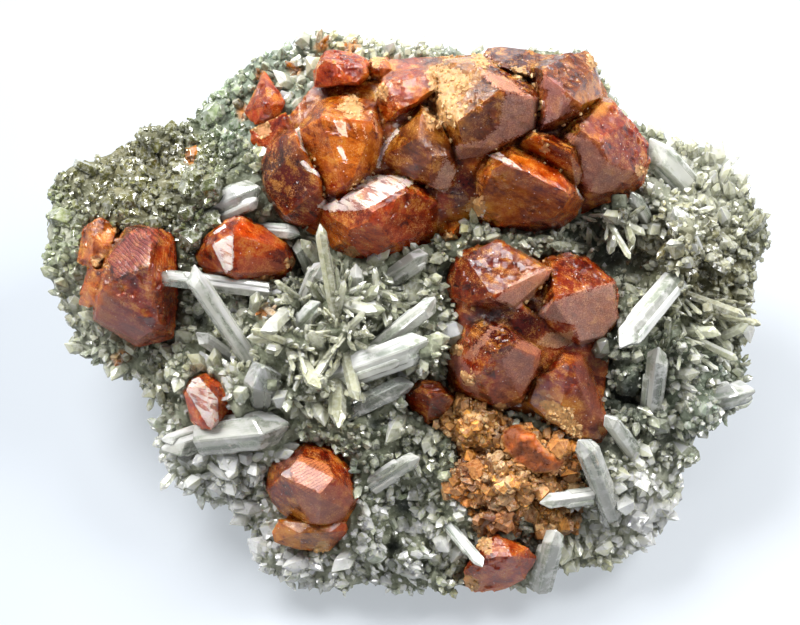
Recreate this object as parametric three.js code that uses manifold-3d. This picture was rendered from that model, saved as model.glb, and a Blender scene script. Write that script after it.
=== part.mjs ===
// A scheelite specimen: orange scheelite crystals and clear quartz prisms grown on a slab of
// grey-green quartz and chlorite rock. Millimetres, +Z up, standing on its flat cut underside.
//
// The crystals grow out of one broad face of the slab, which leans towards the viewer. Their places
// are read off a photograph taken square to that face: the first two numbers of every point below
// are its pixel there, from the upper left corner, and the third is its height in millimetres above
// the face plane.

import * as THREE from "three";
import { ConvexGeometry } from "three/addons/geometries/ConvexGeometry.js";
import { ImprovedNoise } from "three/addons/math/ImprovedNoise.js";
import { mergeVertices } from "three/addons/utils/BufferGeometryUtils.js";
import Module from "manifold-3d";

const wasm = await Module();
wasm.setup();

// Driving dimensions
const SPECIMEN_WIDTH = 120;
const WIDTH_IN_PIXELS = 727;
const PICTURE_MIDDLE = [400, 312.5];
const VIEW_DISTANCE = 450;
const FACE_LEAN = THREE.MathUtils.degToRad(22);
const FACE_MIDDLE = new THREE.Vector3(-0.4, -1.05, 27);
const CRYSTAL_GAP = 0.35;

// A root in the rock: how far below its body's lowest corner, and how wide beside that body
const ROOT_DEPTH = 4;
const ROOT_SHARE = 0.75;
const ROOT_SIDES = 6;
// How far a crystal's peak would rise over the middle of its corners, were it not cut to its faces
const PEAK_HEIGHT = 25;

// The rock: its face is a grid of this many cells each way, laid onto a disc whose edge is the rim
const GRID = 17;
const DOME_HEIGHT = 3.5;
const LUMPS = [
  { length: 9, height: 1.5 },
  { length: 4.1, height: 0.9 },
];
// The outer part of the face flattens from this share of the way out, and drops to the rim
const EDGE_START = 0.72;
const EDGE_FLATTENING = 0.75;
const RIM_DROP = 5;
// The rim's list starts at the upper left, three eighths of a turn from the x axis
const RIM_START = 3 / 8;
// The sides, down to a base that is narrower than the rim
const SIDE_RINGS = 3;
const BASE_SHARE = 0.83;
const SIDE_DENTS = { length: 11, depth: 5 };

// The rock's rim, clockwise in the photograph from the upper left corner
const RIM = [
  [50, 166], [76, 157], [105, 150], [132, 139], [166, 128], [200, 117], [216, 97], [240, 75],
  [262, 60], [290, 50], [320, 37], [346, 38], [366, 46], [400, 42], [432, 52], [465, 55],
  [505, 54], [545, 46], [580, 52], [602, 92], [632, 124], [660, 142], [700, 150], [734, 165],
  [748, 190], [761, 214], [765, 236], [753, 262], [746, 300], [738, 330], [741, 360], [752, 385],
  [750, 411], [726, 421], [700, 436], [690, 462], [680, 490], [670, 515], [641, 544], [610, 559],
  [576, 568], [546, 582], [505, 588], [470, 590], [436, 590], [400, 587], [360, 590], [322, 585],
  [290, 584], [272, 565], [262, 545], [245, 521], [220, 501], [194, 486], [170, 466], [162, 449],
  [172, 430], [160, 410], [146, 391], [130, 375], [110, 356], [80, 345], [62, 330], [59, 300],
  [51, 275], [40, 258], [44, 235], [47, 205],
];

// Swells and hollows of the face: pixel, radius and height, both in millimetres
const SWELLS = [
  { at: [440, 140], radius: 26, height: 6 },
  { at: [530, 320], radius: 15, height: 4.5 },
  { at: [345, 368], radius: 13, height: 6.5 },
  { at: [120, 200], radius: 15, height: 3 },
  { at: [700, 235], radius: 15, height: 5.5 },
  { at: [668, 410], radius: 14, height: 3.5 },
  { at: [255, 440], radius: 13, height: 4.5 },
  { at: [520, 480], radius: 12, height: 3 },
  { at: [350, 560], radius: 9, height: 2 },
  { at: [612, 256], radius: 6.5, height: -8 },
  { at: [306, 266], radius: 5.5, height: -7 },
  { at: [168, 335], radius: 5, height: -5 },
  { at: [404, 506], radius: 4.5, height: -6 },
  { at: [395, 547], radius: 3.5, height: -5 },
  { at: [626, 392], radius: 7, height: -6 },
];

// The shared foot of each cluster of grown-together crystals: its outline where it enters the rock,
// and then the points between the crystals up to which it fills the cluster
const SHARED_ROOTS = {
  scheelite_main_cluster: [
    [262, 150, 4], [300, 104, 5], [330, 66, 3], [390, 60, 4], [500, 54, 5], [588, 56, 6],
    [622, 124, 5], [644, 164, 4], [624, 194, 4], [560, 224, 4], [460, 246, 3], [402, 254, 3],
    [340, 250, 3], [280, 216, 3], [300, 180, 11], [392, 96, 12], [470, 200, 11], [590, 120, 12],
    [440, 160, 13],
  ],
  scheelite_centre_cluster: [
    [450, 284, 5], [464, 258, 6], [545, 260, 7], [588, 262, 5], [614, 284, 4], [612, 322, 4],
    [594, 366, 4], [602, 430, 2], [570, 436, 4], [500, 408, 4], [452, 386, 4], [545, 300, 12],
    [540, 360, 10],
  ],
  scheelite_granular_mass: [
    [438, 424, 3], [466, 406, 5], [500, 414, 6], [540, 436, 6], [576, 446, 4], [590, 486, 0],
    [572, 530, -1], [514, 540, -1], [472, 530, 0], [450, 492, 2], [512, 442, 7.5],
    [530, 486, 5.5], [500, 500, 4.5],
  ],
};

// Scheelite: each crystal is the convex body round its corners. Where its faces are listed, the
// corners are its outline, and each face is the plane through three of its points. Crystals under
// one name have grown into each other and make one solid.
const SCHEELITE = {
  scheelite_main_cluster: [
    { // dark crystal at the left end
      corners: [
        [261, 161, 5], [263, 193, 4], [284, 222, 4], [301, 227, 5], [318, 223, 6], [328, 204, 10],
        [324, 182, 13], [298, 147, 14], [297, 129, 10], [284, 130, 8], [268, 146, 6],
      ],
      faces: [
        [[299, 148, 15.5], [323, 186, 16], [268, 190, 8]],
        [[299, 148, 15.5], [280, 136, 10], [264, 168, 7]],
        [[323, 186, 16], [300, 224, 6.5], [322, 218, 8]],
      ],
    },
    { // broad crystal beside it, turned towards the viewer
      corners: [
        [297, 129, 10], [320, 100, 8.5], [347, 94, 9], [379, 101, 9.5], [388, 132, 10],
        [379, 168, 11], [347, 197, 12], [336, 199, 12], [324, 194, 12], [303, 148, 13],
      ],
      faces: [
        [[322, 116, 18], [374, 122, 17.5], [344, 186, 17]],
        [[322, 116, 18], [374, 122, 17.5], [350, 96, 10.5]],
        [[322, 116, 18], [344, 186, 17], [302, 140, 12.5]],
        [[374, 122, 17.5], [352, 180, 17], [384, 150, 12]],
      ],
    },
    { // small upright crystal with a pale rim
      corners: [
        [379, 84, 10], [382, 77, 10], [393, 72, 10], [418, 68, 10], [437, 70, 10], [438, 90, 14],
        [411, 109, 14], [390, 120, 13], [382, 127, 10], [377, 104, 11],
      ],
      faces: [
        [[386, 84, 16], [430, 76, 16.5], [400, 112, 17.5]],
        [[386, 84, 16], [400, 112, 17.5], [380, 110, 12]],
        [[386, 84, 16], [430, 76, 16.5], [410, 69, 12]],
      ],
    },
    { // highest crystal, with one large grey-bloomed face
      corners: [
        [434, 70, 10], [446, 60, 9], [481, 56, 9], [505, 64, 10], [530, 80, 12], [541, 98, 14],
        [536, 129, 13], [505, 151, 12], [480, 158, 12], [457, 162, 12], [448, 142, 13],
        [436, 122, 13], [430, 100, 12],
      ],
      faces: [
        [[500, 90, 22], [539, 100, 17.5], [457, 158, 17]],
        [[500, 90, 22], [456, 118, 21], [442, 74, 13]],
        [[500, 90, 22], [540, 98, 16.5], [490, 60, 11]],
        [[456, 118, 21], [450, 142, 17.5], [436, 104, 15]],
        [[536, 108, 17], [534, 127, 16.2], [540, 118, 14]],
      ],
    },
    { // brown crystal below it
      corners: [
        [375, 168, 8], [378, 150, 9], [396, 128, 11], [421, 102, 12], [442, 119, 13],
        [454, 140, 12], [458, 168, 11], [456, 189, 10], [442, 195, 9], [410, 187, 8], [386, 175, 8],
      ],
      faces: [
        [[418, 138, 19.5], [380, 152, 12], [406, 125, 15.5]],
        [[418, 138, 19.5], [386, 170, 11.5], [428, 182, 15]],
        [[418, 138, 19.5], [441, 121, 16], [438, 158, 18]],
        [[438, 152, 18.5], [455, 168, 14], [430, 184, 15]],
      ],
    },
    { // glossy crystal at the front left
      corners: [
        [311, 206, 6], [328, 195, 8], [366, 178, 10], [388, 171, 11], [408, 176, 11],
        [430, 187, 10], [443, 200, 8], [443, 228, 6], [430, 238, 5], [401, 258, 3], [371, 268, 2],
        [350, 260, 3], [332, 249, 4], [320, 226, 5],
      ],
      faces: [
        [[348, 192, 15.5], [404, 178, 15.5], [372, 212, 20]],
        [[314, 207, 9], [348, 192, 15.5], [346, 230, 15.5]],
        [[372, 212, 20], [402, 194, 19], [384, 238, 16.5]],
        [[402, 192, 19], [441, 202, 10], [414, 244, 9]],
        [[346, 230, 15.8], [394, 234, 16.5], [371, 265, 5]],
        [[348, 192, 15.5], [346, 230, 15.8], [372, 212, 20]],
      ],
    },
    { // long crystal at the front right
      corners: [
        [455, 204, 5], [462, 184, 7], [474, 163, 10], [488, 152, 11], [507, 143, 12],
        [531, 154, 13], [560, 170, 14], [576, 186, 13], [584, 201, 10], [576, 217, 7],
        [563, 228, 5], [531, 232, 4], [493, 231, 4], [468, 218, 5],
      ],
      faces: [
        [[497, 158, 20.5], [574, 196, 17], [500, 226, 9]],
        [[497, 158, 20.5], [574, 196, 17], [536, 153, 15]],
        [[497, 158, 20.5], [482, 158, 15], [472, 214, 9]],
        [[488, 190, 17], [500, 228, 8], [470, 215, 7.5]],
      ],
    },
    { // upper right corner
      corners: [
        [528, 66, 9], [551, 57, 8], [590, 50, 7], [600, 80, 7], [603, 98, 7], [580, 123, 10],
        [553, 132, 12], [539, 133, 12], [540, 98, 14], [542, 76, 14],
      ],
      faces: [
        [[545, 76, 19], [573, 98, 20.5], [544, 130, 15.5]],
        [[573, 98, 20.5], [589, 54, 10], [601, 97, 9.5]],
        [[545, 76, 19], [573, 98, 20.5], [570, 54, 10]],
        [[573, 98, 20.5], [548, 131, 15.5], [582, 121, 13]],
      ],
    },
    { // right end, with a smooth mauve face
      corners: [
        [566, 120, 12], [585, 108, 10], [601, 96, 8], [611, 98, 7], [627, 121, 6], [648, 142, 5],
        [650, 163, 5], [643, 186, 4], [627, 198, 5], [594, 205, 6], [582, 203, 8], [572, 178, 12],
        [556, 145, 13],
      ],
      faces: [
        [[580, 130, 19], [608, 160, 17], [584, 200, 12]],
        [[608, 160, 17], [584, 200, 12], [638, 184, 8.5]],
        [[608, 128, 16], [608, 160, 17], [646, 156, 8]],
        [[580, 130, 19], [606, 100, 11], [622, 128, 13]],
      ],
    },
    { // wedge between the long crystal and the right end
      corners: [
        [513, 147, 12], [530, 131, 14], [553, 136, 16], [575, 147, 17], [585, 176, 14],
        [576, 187, 13], [556, 165, 14], [535, 135, 18.5], [570, 152, 19.5],
      ],
    },
    { // two small crystals on the upper rim
      corners: [
        [313, 72, 5], [326, 51, 4], [340, 48, 4], [367, 59, 5], [371, 76, 8], [358, 85, 10],
        [338, 84, 11], [314, 88, 7],
      ],
      faces: [
        [[333, 62, 13], [360, 62, 12], [350, 84, 12.5]],
        [[333, 62, 13], [316, 80, 9], [345, 86, 11.5]],
        [[333, 62, 13], [330, 51, 5], [362, 58, 7]],
      ],
    },
    {
      corners: [
        [368, 60, 5], [387, 57, 3], [395, 70, 5], [380, 82, 8.5], [367, 76, 8], [380, 68, 11],
      ],
    },
    { // low crystal behind the highest one
      corners: [
        [483, 54, 7], [488, 48, 5], [502, 47, 5], [526, 50, 7], [549, 58, 8], [540, 80, 12],
        [520, 72, 14], [500, 66, 13],
      ],
    },
    { // small crystals under the front of the cluster
      corners: [
        [430, 236, 4], [442, 216, 7], [464, 220, 8], [471, 232, 5], [450, 254, 3], [436, 252, 3],
        [452, 232, 9.5],
      ],
    },
    {
      corners: [[250, 130, 3], [286, 112, 8], [296, 132, 9], [266, 152, 5], [252, 143, 3]],
    },
  ],
  scheelite_rim_crystal: [
    {
      corners: [
        [245, 112, 1], [258, 88, 2], [264, 71, 1], [275, 90, 4], [285, 104, 5], [277, 121, 5],
        [255, 125, 3], [268, 104, 7],
      ],
    },
  ],
  scheelite_centre_cluster: [
    { // upper left
      corners: [
        [445, 281, 6], [452, 262, 7], [461, 252, 8], [480, 246, 8], [496, 239, 9], [510, 246, 10],
        [544, 266, 12], [554, 270, 13], [546, 283, 12], [517, 312, 10], [491, 306, 9],
        [462, 312, 7], [449, 300, 7],
      ],
      faces: [
        [[492, 296, 17], [548, 269, 15.5], [517, 310, 14]],
        [[492, 296, 17], [548, 269, 15.5], [478, 248, 11]],
        [[492, 296, 17], [456, 262, 10], [456, 300, 10.5]],
        [[492, 296, 17], [504, 309, 14.5], [462, 311, 10]],
      ],
    },
    { // right
      corners: [
        [545, 258, 8], [569, 254, 7], [586, 257, 6], [608, 276, 5], [617, 283, 5], [620, 318, 4],
        [608, 340, 3], [577, 350, 5], [543, 333, 7], [533, 316, 9], [544, 290, 11],
      ],
      faces: [
        [[552, 298, 17], [614, 283, 10], [584, 344, 9]],
        [[552, 298, 17], [614, 283, 10], [572, 258, 9]],
        [[552, 298, 17], [538, 318, 12.5], [546, 264, 10]],
        [[552, 298, 17], [538, 322, 12], [574, 347, 8.5]],
      ],
    },
    { // dark crystal low between the upper and lower ones
      corners: [
        [447, 312, 6], [462, 300, 10], [520, 300, 13], [545, 322, 11], [542, 350, 10],
        [500, 356, 12], [456, 342, 8],
      ],
    },
    { // lower
      corners: [
        [445, 364, 5], [448, 348, 6], [465, 321, 8], [485, 311, 8], [505, 317, 9], [522, 337, 10],
        [545, 352, 10], [539, 375, 8], [523, 403, 6], [499, 411, 5], [483, 406, 5], [460, 404, 4],
        [449, 387, 4],
      ],
      faces: [
        [[496, 350, 19], [542, 354, 14], [519, 400, 9.5]],
        [[496, 350, 19], [480, 372, 16], [510, 402, 9]],
        [[468, 334, 13], [480, 372, 16], [453, 384, 7.5]],
        [[480, 374, 16], [484, 404, 7.5], [455, 388, 7]],
        [[496, 350, 19], [466, 326, 11.5], [506, 322, 13]],
        [[496, 350, 19], [480, 372, 16], [466, 330, 12.5]],
      ],
    },
    { // right-hand foot
      corners: [
        [534, 376, 8], [562, 350, 8], [581, 353, 7], [592, 370, 6], [610, 427, 3], [602, 444, 2],
        [571, 439, 4], [540, 416, 6], [525, 403, 6],
      ],
      faces: [
        [[570, 362, 14], [584, 360, 10], [603, 436, 5]],
        [[570, 362, 14], [590, 400, 9.5], [572, 436, 7.5]],
        [[570, 362, 14], [536, 384, 10], [548, 418, 9]],
      ],
    },
  ],
  scheelite_granular_mass: [
    { // upper ledge, the most orange of them
      corners: [
        [500, 434, 7.5], [525, 426, 8.5], [563, 452, 7.5], [566, 470, 6.5], [537, 474, 7],
        [507, 460, 7], [530, 440, 10.5], [548, 458, 10],
      ],
    },
    { // ledge beside it
      corners: [
        [546, 430, 7], [578, 444, 5], [586, 462, 4], [572, 478, 4], [552, 462, 8.5],
        [566, 446, 8],
      ],
    },
    { // wide middle ledge
      corners: [
        [460, 452, 5.5], [497, 456, 7.5], [530, 472, 7.5], [556, 486, 6], [545, 500, 5],
        [520, 508, 5], [474, 508, 4.5], [449, 496, 3.5], [450, 478, 4.5], [505, 482, 9],
      ],
    },
    { // lower ledges
      corners: [[538, 480, 5.5], [584, 478, 3], [588, 492, 2], [552, 500, 4], [564, 484, 6]],
    },
    {
      corners: [[528, 506, 4], [576, 504, 2], [572, 528, 0.5], [543, 534, 1.5], [550, 512, 5]],
    },
    {
      corners: [[466, 512, 4], [526, 510, 4.5], [518, 534, 2], [474, 534, 1.5], [498, 517, 6]],
    },
    { // crumbly patch under the centre cluster
      corners: [
        [432, 421, 5], [463, 403, 7], [492, 408, 8], [500, 430, 8], [480, 448, 6.5],
        [450, 440, 5], [468, 420, 9],
      ],
    },
  ],
  scheelite_small_red_crystal: [
    {
      corners: [
        [401, 395, 4], [421, 379, 6], [441, 383, 7], [457, 399, 6], [447, 415, 4], [428, 425, 3],
        [413, 413, 3],
      ],
      faces: [
        [[432, 392, 12.5], [446, 398, 10.5], [430, 422, 5]],
        [[432, 392, 12.5], [404, 395, 6], [424, 420, 5]],
        [[432, 392, 12.5], [420, 381, 8], [442, 385, 9]],
      ],
    },
  ],
  scheelite_left_crystal: [
    {
      corners: [
        [155, 230, 9], [170, 232, 5], [177, 240, 4], [178, 292, 4], [173, 338, 2], [160, 342, 2],
        [138, 347, 1], [94, 321, 2], [92, 300, 4], [104, 256, 5], [126, 228, 6], [142, 225, 7],
      ],
      faces: [
        [[149, 266, 15], [153, 232, 12.5], [108, 262, 9.5]],
        [[149, 266, 15], [153, 232, 12.5], [176, 262, 7]],
        [[149, 266, 15], [161, 334, 8], [177, 280, 6]],
        [[149, 266, 15], [106, 291, 10.5], [161, 334, 8]],
        [[106, 291, 10.5], [161, 334, 8], [112, 332, 3]],
      ],
    },
    {
      corners: [
        [77, 262, 1], [84, 229, 2], [99, 218, 3], [117, 226, 3], [110, 250, 7], [92, 270, 6],
        [94, 236, 6.5],
      ],
    },
    {
      corners: [
        [88, 268, 5], [110, 270, 9.5], [115, 281, 10.5], [97, 308, 6], [79, 304, 1],
        [84, 283, 5],
      ],
    },
  ],
  scheelite_upper_left_crystal: [
    {
      corners: [
        [205, 236, 5], [225, 221, 6], [241, 216, 6], [262, 225, 5], [288, 242, 3], [296, 258, 2],
        [289, 277, 2], [262, 286, 2], [236, 287, 2], [205, 275, 2], [190, 258, 2],
      ],
      faces: [
        [[233, 234, 13.5], [212, 243, 12], [229, 274, 11]],
        [[233, 234, 13.5], [231, 273, 11.3], [291, 266, 4.5]],
        [[233, 234, 13.5], [240, 219, 9], [290, 252, 5.5]],
        [[212, 243, 12], [229, 274, 11], [195, 261, 4]],
        [[233, 234, 13.5], [212, 243, 12], [222, 225, 9]],
        [[231, 273, 11], [270, 270, 7], [250, 284, 3.5]],
      ],
    },
  ],
  scheelite_small_left_crystal: [
    {
      corners: [
        [183, 392, 2], [189, 380, 4], [206, 372, 4], [223, 383, 3], [236, 399, 2], [232, 411, 2],
        [214, 434, 1], [203, 431, 2], [191, 420, 2],
      ],
      faces: [
        [[189, 387, 8], [206, 385, 10.5], [210, 428, 7]],
        [[206, 385, 10.5], [214, 422, 8], [234, 401, 4]],
        [[189, 387, 8], [205, 428, 6.8], [184, 402, 4]],
        [[189, 387, 8], [206, 385, 10.5], [205, 374, 5.5]],
      ],
    },
  ],
  scheelite_lower_left_crystal: [
    {
      corners: [
        [270, 462, 3], [290, 451, 4], [305, 441, 4], [333, 447, 4], [353, 468, 3], [359, 500, 3],
        [345, 525, 2], [322, 528, 3], [300, 525, 2], [279, 514, 2], [266, 488, 2],
      ],
      faces: [
        [[290, 456, 10], [332, 479, 13.5], [286, 478, 12]],
        [[290, 456, 10], [332, 479, 13.5], [334, 449, 6.5]],
        [[332, 479, 13.5], [321, 498, 13.5], [356, 494, 6]],
        [[286, 478, 12], [321, 498, 13.5], [312, 525, 6]],
        [[321, 498, 13.5], [352, 506, 6], [325, 526, 5.5]],
        [[286, 478, 12], [309, 522, 6], [269, 488, 5]],
      ],
    },
    {
      corners: [
        [272, 532, 2], [278, 521, 4.5], [312, 524, 5], [345, 522, 4], [349, 530, 3],
        [329, 551, 0.5], [300, 549, 0.5], [275, 542, 1], [300, 533, 5.5], [330, 532, 5],
      ],
    },
  ],
  scheelite_bottom_crystal: [
    {
      corners: [
        [464, 571, 0], [480, 541, 3], [496, 536, 4], [528, 548, 3.5], [537, 559, 2],
        [524, 579, -1], [505, 589, -4], [476, 592, -4], [466, 586, -3], [486, 558, 6.5],
        [512, 556, 6.5],
      ],
    },
  ],
};

// Quartz prisms that stand clear of the crust: the point of each, where it is rooted, and how far
// it measures across
const STANDING_QUARTZ = [
  { name: "quartz_long_prism", tip: [431, 340, 15], root: [318, 381, 7], across: 5.2 },
  { name: "quartz_lance", tip: [414, 379, 11], root: [345, 412, 6], across: 3.6 },
  { name: "quartz_crossed_prism_upper", tip: [188, 268, 14], root: [252, 364, 5], across: 3.2 },
  { name: "quartz_crossed_prism_lower", tip: [153, 276, 10.5], root: [268, 291, 5.5], across: 3.0 },
  { name: "quartz_stub_prism", tip: [263, 362, 13], root: [262, 405, 2], across: 6.4 },
  { name: "quartz_upper_fang", tip: [323, 262, 11], root: [305, 305, 3], across: 3.6 },
  { name: "quartz_blade", tip: [428, 251, 12], root: [388, 280, 5], across: 3.4 },
  { name: "quartz_left_barrel", tip: [262, 188, 8], root: [212, 210, 1], across: 5.8 },
  { name: "quartz_right_spear", tip: [617, 348, 15], root: [676, 278, 3], across: 4.2 },
  { name: "quartz_pale_tooth", tip: [674, 206, 10], root: [694, 252, 3], across: 3.0 },
  { name: "quartz_lower_right_prism", tip: [582, 436, 11], root: [613, 516, 1], across: 4.0 },
  { name: "quartz_bottom_tooth", tip: [556, 528, 6], root: [541, 588, -5], across: 3.6 },
  { name: "quartz_clear_lens", tip: [292, 428, 9], root: [200, 438, 2], across: 6.6 },
  { name: "quartz_lower_middle_prism", tip: [420, 455, 9], root: [372, 486, 3], across: 3.2 },
];

// Large prisms that the crust holds along their sides, so that they are one with the rock
const HELD_QUARTZ = [
  { tip: [438, 299, 14], root: [372, 352, 7], across: 3.4 },
  { tip: [195, 332, 6], root: [242, 364, 1], across: 2.8 },
  { tip: [356, 266, 11], root: [356, 312, 4], across: 2.4 },
  { tip: [320, 300, 11], root: [280, 345, 4], across: 3.0 },
  { tip: [302, 233, 6], root: [244, 228, 2], across: 2.6 },
  { tip: [296, 240, 5], root: [318, 290, -3], across: 2.4 },
  { tip: [604, 207, 10], root: [626, 250, 0], across: 1.9 },
  { tip: [616, 199, 10], root: [642, 244, 1], across: 1.9 },
  { tip: [631, 192, 10], root: [652, 230, 2], across: 2.4 },
  { tip: [646, 140, 5], root: [688, 186, 0], across: 5.0 },
  { tip: [658, 346, 9], root: [650, 412, 0], across: 3.6 },
  { tip: [538, 502, 8], root: [592, 495, 4], across: 2.9 },
  { tip: [605, 414, 9], root: [636, 456, 1], across: 2.8 },
  { tip: [484, 567, 7.5], root: [448, 524, 1], across: 2.0 },
  { tip: [160, 452, 2], root: [205, 436, -1], across: 4.6 },
  { tip: [757, 388, 1], root: [716, 398, -2], across: 4.4 },
];

const MATERIALS = {
  rock: new THREE.MeshStandardMaterial({ color: 0x8d9384, roughness: 0.85, metalness: 0 }),
  scheelite: new THREE.MeshStandardMaterial({ color: 0xa8481a, roughness: 0.25, metalness: 0 }),
  granular: new THREE.MeshStandardMaterial({ color: 0xc0813f, roughness: 0.6, metalness: 0 }),
  quartz: new THREE.MeshStandardMaterial({
    color: 0xdfe3db, roughness: 0.1, metalness: 0, transparent: true, opacity: 0.45,
  }),
};

// Small crystals of the crust: how many places they get, how far out, and how wide they are
const CRUST_CRYSTALS = 89;
const CRUST_REACH = 0.97;
const CRUST_ACROSS = [3, 5.6];
const CRUST_SEED = 7;
const GOLDEN_ANGLE = Math.PI * (3 - Math.sqrt(5));

const noise = new ImprovedNoise();
// Up in the part's frame, seen from the leaning face
const UP = new THREE.Vector3(0, Math.sin(FACE_LEAN), Math.cos(FACE_LEAN));

// A seeded stream of numbers from 0 to 1
function randomStream(seed) {
  let state = seed;
  return () => {
    state = (state * 1664525 + 1013904223) % 4294967296;
    return state / 4294967296;
  };
}

// A pixel of the photograph and a height over the face, as a point in millimetres
function onFace([across, down, height]) {
  const scale = (SPECIMEN_WIDTH / WIDTH_IN_PIXELS) * (1 - height / VIEW_DISTANCE);
  return new THREE.Vector3(
    (across - PICTURE_MIDDLE[0]) * scale,
    (PICTURE_MIDDLE[1] - down) * scale,
    height,
  );
}

function toSolid(geometry) {
  const bare = geometry.clone();
  bare.deleteAttribute("normal");
  bare.deleteAttribute("uv");
  const merged = mergeVertices(bare, 1e-4);
  return new wasm.Manifold(
    new wasm.Mesh({
      numProp: 3,
      vertProperties: merged.attributes.position.array,
      triVerts: new Uint32Array(merged.index.array),
    }),
  );
}

function toGeometry(solid) {
  const mesh = solid.getMesh();
  return new THREE.BufferGeometry()
    .setAttribute("position", new THREE.BufferAttribute(new Float32Array(mesh.vertProperties), 3))
    .setIndex(new THREE.BufferAttribute(new Uint32Array(mesh.triVerts), 1))
    .toNonIndexed();
}

function largestPiece(solid) {
  return solid.decompose().sort((a, b) => b.volume() - a.volume())[0];
}

// A convex body with every face moved outwards by a gap
function withGap(convex, gap) {
  const { vertProperties, triVerts } = convex.getMesh();
  const corner = (i) => new THREE.Vector3().fromArray(vertProperties, triVerts[i] * 3);
  const bounds = convex.boundingBox();
  const room = new THREE.BoxGeometry(...bounds.max.map((high, i) => high - bounds.min[i] + 4 * gap));
  const middle = bounds.max.map((high, i) => (high + bounds.min[i]) / 2);
  let grown = toSolid(room.translate(...middle));
  for (let i = 0; i < triVerts.length; i += 3) {
    const plane = new THREE.Plane().setFromCoplanarPoints(corner(i), corner(i + 1), corner(i + 2));
    grown = grown.trimByPlane(plane.normal.clone().negate().toArray(), plane.constant - gap);
  }
  return grown;
}

// Height of the rock's face over the face plane
function relief(x, y) {
  const swell = SWELLS.reduce((sum, { at, radius, height }) => {
    const away = onFace([...at, 0]).distanceTo(new THREE.Vector3(x, y, 0));
    return sum + height * Math.exp(-((away / radius) ** 2));
  }, 0);
  const lumps = LUMPS.reduce((sum, { length, height }) => (
    sum + height * noise.noise(x / length, y / length, length)
  ), 0);
  return swell + lumps;
}

// The height of the face, which domes in the middle and falls off to its rim: share is how far out
// a point lies, from 0 in the middle to 1 on the rim
function faceHeight(x, y, share) {
  const edge = THREE.MathUtils.smoothstep(share, EDGE_START, 1);
  const dome = DOME_HEIGHT * (1 - share * share);
  return (dome + relief(x, y)) * (1 - EDGE_FLATTENING * edge) - RIM_DROP * edge;
}

// The rim as the grid's border meets it: evenly spaced points, each corner's nearest moved onto it,
// counter-clockwise from the upper left
function rimPoints() {
  const corners = RIM.map((p) => onFace([...p, -RIM_DROP])).reverse();
  corners.unshift(corners.pop());
  const outline = new THREE.Path(corners.map((p) => new THREE.Vector2(p.x, p.y)));
  outline.closePath();
  const spaced = outline.getSpacedPoints(4 * GRID).slice(0, -1);
  for (const corner of corners) {
    const away = spaced.map((p) => Math.hypot(p.x - corner.x, p.y - corner.y));
    spaced[away.indexOf(Math.min(...away))].set(corner.x, corner.y);
  }
  return spaced;
}
const rimLine = rimPoints();

// The rim in a direction, given as an angle from the x axis
function rimAt(angle) {
  const turn = (angle / (2 * Math.PI) - RIM_START + 2) % 1;
  const place = turn * rimLine.length;
  const before = Math.floor(place) % rimLine.length;
  const after = (before + 1) % rimLine.length;
  return rimLine[before].clone().lerp(rimLine[after], place - Math.floor(place));
}

// A point of the square grid laid onto a round disc: how far out it lies, and its angle
function discPoint(column, row) {
  const a = (2 * column) / GRID - 1;
  const b = (2 * row) / GRID - 1;
  if (a === 0 && b === 0) return [0, 0];
  if (Math.abs(a) > Math.abs(b)) return [Math.abs(a), (Math.PI / 4) * (b / a) + (a < 0 ? Math.PI : 0)];
  return [Math.abs(b), Math.PI / 2 - (Math.PI / 4) * (a / b) + (b < 0 ? Math.PI : 0)];
}

// The slab: a relief on the face, rough sides that draw in towards the base, and a flat underside
function rockSolid() {
  const points = [];
  const triangles = [];
  const quad = (a, b, c, d) => triangles.push(a, b, c, a, c, d);

  for (let row = 0; row <= GRID; row++) {
    for (let column = 0; column <= GRID; column++) {
      const [share, angle] = discPoint(column, row);
      const { x, y } = rimAt(angle).multiplyScalar(share);
      points.push(new THREE.Vector3(x, y, faceHeight(x, y, share)));
    }
  }
  const at = (column, row) => row * (GRID + 1) + column;
  for (let row = 0; row < GRID; row++) {
    for (let column = 0; column < GRID; column++) {
      quad(at(column, row), at(column + 1, row), at(column + 1, row + 1), at(column, row + 1));
    }
  }

  const rim = [];
  for (let i = 0; i < GRID; i++) rim.push(at(i, 0));
  for (let i = 0; i < GRID; i++) rim.push(at(GRID, i));
  for (let i = 0; i < GRID; i++) rim.push(at(GRID - i, GRID));
  for (let i = 0; i < GRID; i++) rim.push(at(0, GRID - i));
  let ring = rim;
  for (let level = 1; level <= SIDE_RINGS; level++) {
    const share = level / SIDE_RINGS;
    const below = rim.map((index) => {
      const start = points[index];
      const drop = start.dot(UP) + FACE_MIDDLE.z;
      const outwards = start.clone().addScaledVector(UP, -start.dot(UP));
      const { length, depth } = SIDE_DENTS;
      const waves = 0.5 + noise.noise(start.x / length, start.y / length, level * 2.7);
      const dent = level < SIDE_RINGS ? (depth * waves) / outwards.length() : 0;
      const inwards = (1 - BASE_SHARE) * share + Math.max(0, dent);
      points.push(start.clone().addScaledVector(UP, -drop * share).addScaledVector(outwards, -inwards));
      return points.length - 1;
    });
    ring.forEach((index, i) => {
      const next = (i + 1) % ring.length;
      quad(index, below[i], below[next], ring[next]);
    });
    ring = below;
  }
  points.push(UP.clone().multiplyScalar(-FACE_MIDDLE.z));
  ring.forEach((index, i) => triangles.push(index, points.length - 1, ring[(i + 1) % ring.length]));

  const geometry = new THREE.BufferGeometry().setFromPoints(points).setIndex(triangles);
  return toSolid(geometry);
}

function middleOf(points) {
  return points.reduce((sum, p) => sum.add(p), new THREE.Vector3()).divideScalar(points.length);
}

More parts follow.
